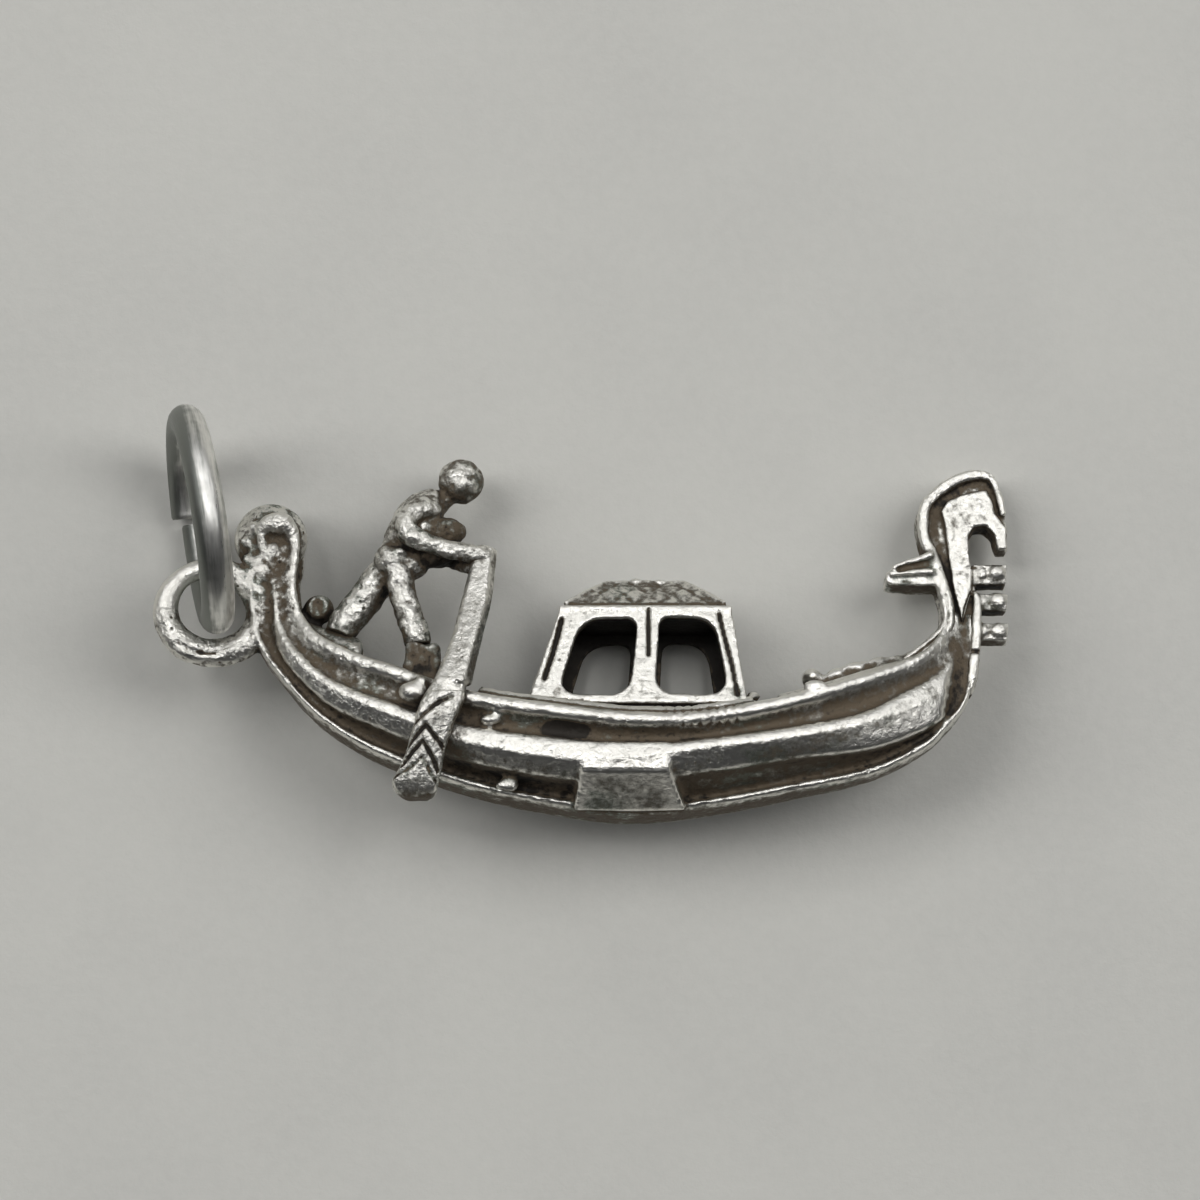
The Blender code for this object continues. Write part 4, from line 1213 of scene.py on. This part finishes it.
def make_jump_ring():
    """The open ring in the frame's own directions, on the middle of the loop's upper wire."""
    hinge = TO_FRAME @ at(*RING_HINGE)
    data = bpy.data.curves.new("jump_ring_wire", "CURVE")
    data.dimensions = "3D"
    data.bevel_depth = RING_WIRE * MM
    data.bevel_resolution = 8
    data.use_fill_caps = True
    spline = data.splines.new("POLY")
    spline.points.add(RING_POINTS)
    for i, point in enumerate(spline.points):
        share = i / RING_POINTS
        turn = RING_CUT + (2 * math.pi - 2 * RING_CUT) * share
        along = RING_RADIUS * math.sin(turn)
        up = -math.sqrt(RING_RADIUS ** 2 - RING_SWAY ** 2) * math.cos(turn)
        sway = -RING_SWAY * math.cos(turn) + RING_TWIST * (2 * share - 1)
        offset = Vector((sway - along * math.sin(RING_SLANT), along * math.cos(RING_SLANT), up))
        point.co = (*(hinge + (Vector(RING_FROM_HINGE) + offset) * MM), 1.0)
        point.radius = 1.0 - (0.06 if i in (0, RING_POINTS) else 0.0)
    mesh = drawn(data)
    shape = bmesh.new()
    shape.from_mesh(mesh)
    bmesh.ops.remove_doubles(shape, verts=shape.verts, dist=0.000001)
    bmesh.ops.recalc_face_normals(shape, faces=shape.faces)
    # Where each point lies round the wire, so that streaks run along it, and how far it faces along x, for
    # the painted shade on one side
    layer = shape.verts.layers.float_vector.new("around")
    middle = hinge + Vector(RING_FROM_HINGE) * MM
    for vert in shape.verts:
        arm = vert.co - middle
        turn = math.atan2(arm.z, arm.y)
        out = math.hypot(arm.y, arm.z) / MM - RING_RADIUS
        vert[layer] = (out / RING_WIRE, vert.normal.x, 0.5 * turn)
    shape.to_mesh(mesh)
    shape.free()
    mesh.shade_smooth()
    mesh.set_sharp_from_angle(angle=math.radians(50))
    mesh.materials.clear()
    mesh.materials.append(drawn_wire_finish())
    ring = put("open_jump_ring", mesh)
    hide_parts("jump_ring")
    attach(ring, "ring")


# Floor, light and camera

BOARD_TONES = ((0.60, 0.60, 0.575, 1), (0.56, 0.56, 0.54, 1))
BOARD_FIBRE = (0.66, 0.655, 0.63, 1)
ROOM_COLOUR = (0.96, 0.975, 1.0, 1.0)
ROOM_LEAN = math.radians(45)
ROOM_DARK = 0.04
ROOM_BRIGHT = 0.20
WINDOW_PLACE = (0.67, 0.157, 0.442)
WINDOW_SIZE = (1.02, 0.24)
WINDOW_AIM = 0.64
WINDOW_POWER = 4.1
WINDOW_COLOUR = (1.0, 0.99, 0.96)
# Panels that only the metal mirrors, in columns: place, size, power
PANELS = (
    ((0.0, 0.120, 0.480), (1.5, 0.21), 0.90),
    ((0.0, 0.390, 0.312), (1.4, 0.34), 1.08),
    ((0.0, 0.110, 0.430), (1.0, 0.035), 0.55),
    ((0.0, 0.300, 0.340), (1.0, 0.030), 0.22),
)
CAMERA_LENS = 99.0
CAMERA_SENSOR = 36.0
CAMERA_FROM_KEEL = Vector((0.0, 0.007244, 0.109395))


def make_floor():
    shape = bmesh.new()
    bmesh.ops.create_grid(shape, x_segments=1, y_segments=1, size=0.6)
    data = bpy.data.meshes.new("table")
    shape.to_mesh(data)
    shape.free()
    make = finish_nodes("pale_board")
    place = make.place()
    fibres = make.cloud(place, 2.2, 4.0, 0.7)
    blotches = make.cloud(place, 0.08, 3.0, 0.6)
    tone = make.blend(make.spread(blotches, 0.3, 0.7), *BOARD_TONES)
    make.give("Base Color", make.blend(make.spread(fibres, 0.3, 0.7, 0.0, 0.25), tone, BOARD_FIBRE))
    make.give("Roughness", 0.75)
    make.relief(fibres, 0.00002)
    data.materials.append(make.finish)
    table = put("table", data)


def area_light(name, place, size, power, aim=(0.0, 0.0, 0.0), colour=(1.0, 1.0, 1.0)):
    data = bpy.data.lights.new(name, "AREA")
    data.shape = "RECTANGLE"
    data.size, data.size_y = size
    data.energy = power
    data.color = colour
    lamp = put(name, data)
    lamp.location = place
    lamp.rotation_euler = (Vector(aim) - Vector(place)).to_track_quat("-Z", "Y").to_euler()
    return lamp


def make_light():
    """Two wide windows overhead, pale panels round them, and a dim room."""
    world = bpy.data.worlds.new("room")
    make = Nodes(world, "Background")
    where = make.add("ShaderNodeTexCoord", {}, "Generated")
    upward = (0.0, math.sin(ROOM_LEAN), math.cos(ROOM_LEAN))
    facing = make.add("ShaderNodeVectorMath", {0: where, 1: upward}, "Value", operation="DOT_PRODUCT")
    make.give("Strength", make.spread(facing, 0.3, 1.0, ROOM_DARK, ROOM_BRIGHT))
    make.give("Color", ROOM_COLOUR)
    bpy.context.scene.world = world
    for side in (-1, 1):
        place = (side * WINDOW_PLACE[0], WINDOW_PLACE[1], WINDOW_PLACE[2])
        window = area_light("window", place, WINDOW_SIZE, WINDOW_POWER,
                            (side * WINDOW_AIM, 0.0, 0.0), WINDOW_COLOUR)
        window.visible_glossy = False
    for place, size, power in PANELS:
        panel = area_light("panel", place, size, power)
        panel.visible_diffuse = False
    bpy.context.scene.view_settings.view_transform = "Standard"


def make_camera():
    data = bpy.data.cameras.new("camera")
    data.sensor_width = CAMERA_SENSOR
    data.lens = CAMERA_LENS
    data.clip_start = 0.001
    data.clip_end = 10.0
    camera = put("camera", data)
    camera.location = TO_FRAME @ at(0.0, 0.0, 0.0) + CAMERA_FROM_KEEL
    bpy.context.scene.camera = camera


TO_FRAME = boat_to_frame()
# Finishes of the castings, with the depth of their relief in metres
HULL_SILVER = aged_silver("hull_silver", 0.000042)
ROUGH_SILVER = aged_silver("rough_cast_silver", 0.000060, tarnish_and_shade=0.06, roughness=0.27)
CABIN_SILVER = aged_silver("cabin_silver", 0.000044, roughness=0.24)
IRON_SILVER = aged_silver("bow_iron_silver", 0.000050, roughness=0.26)

CASTINGS = (
    (hull_solids(), finish_hull),
    (rower_solids(), finish_rower),
    (oar_solids(), finish_oar),
    (cabin_solids(), finish_cabin),
    (bow_iron_solids(), finish_bow_iron),
)
whole = bmesh.new()
for shape, finish in CASTINGS:
    part = bpy.data.meshes.new("part")
    shape.to_mesh(part)
    whole.from_mesh(part)
SOLIDS = BVHTree.FromBMesh(whole)
for shape, finish in CASTINGS:
    finish(shape)
make_jump_ring()
make_floor()
make_light()
make_camera()
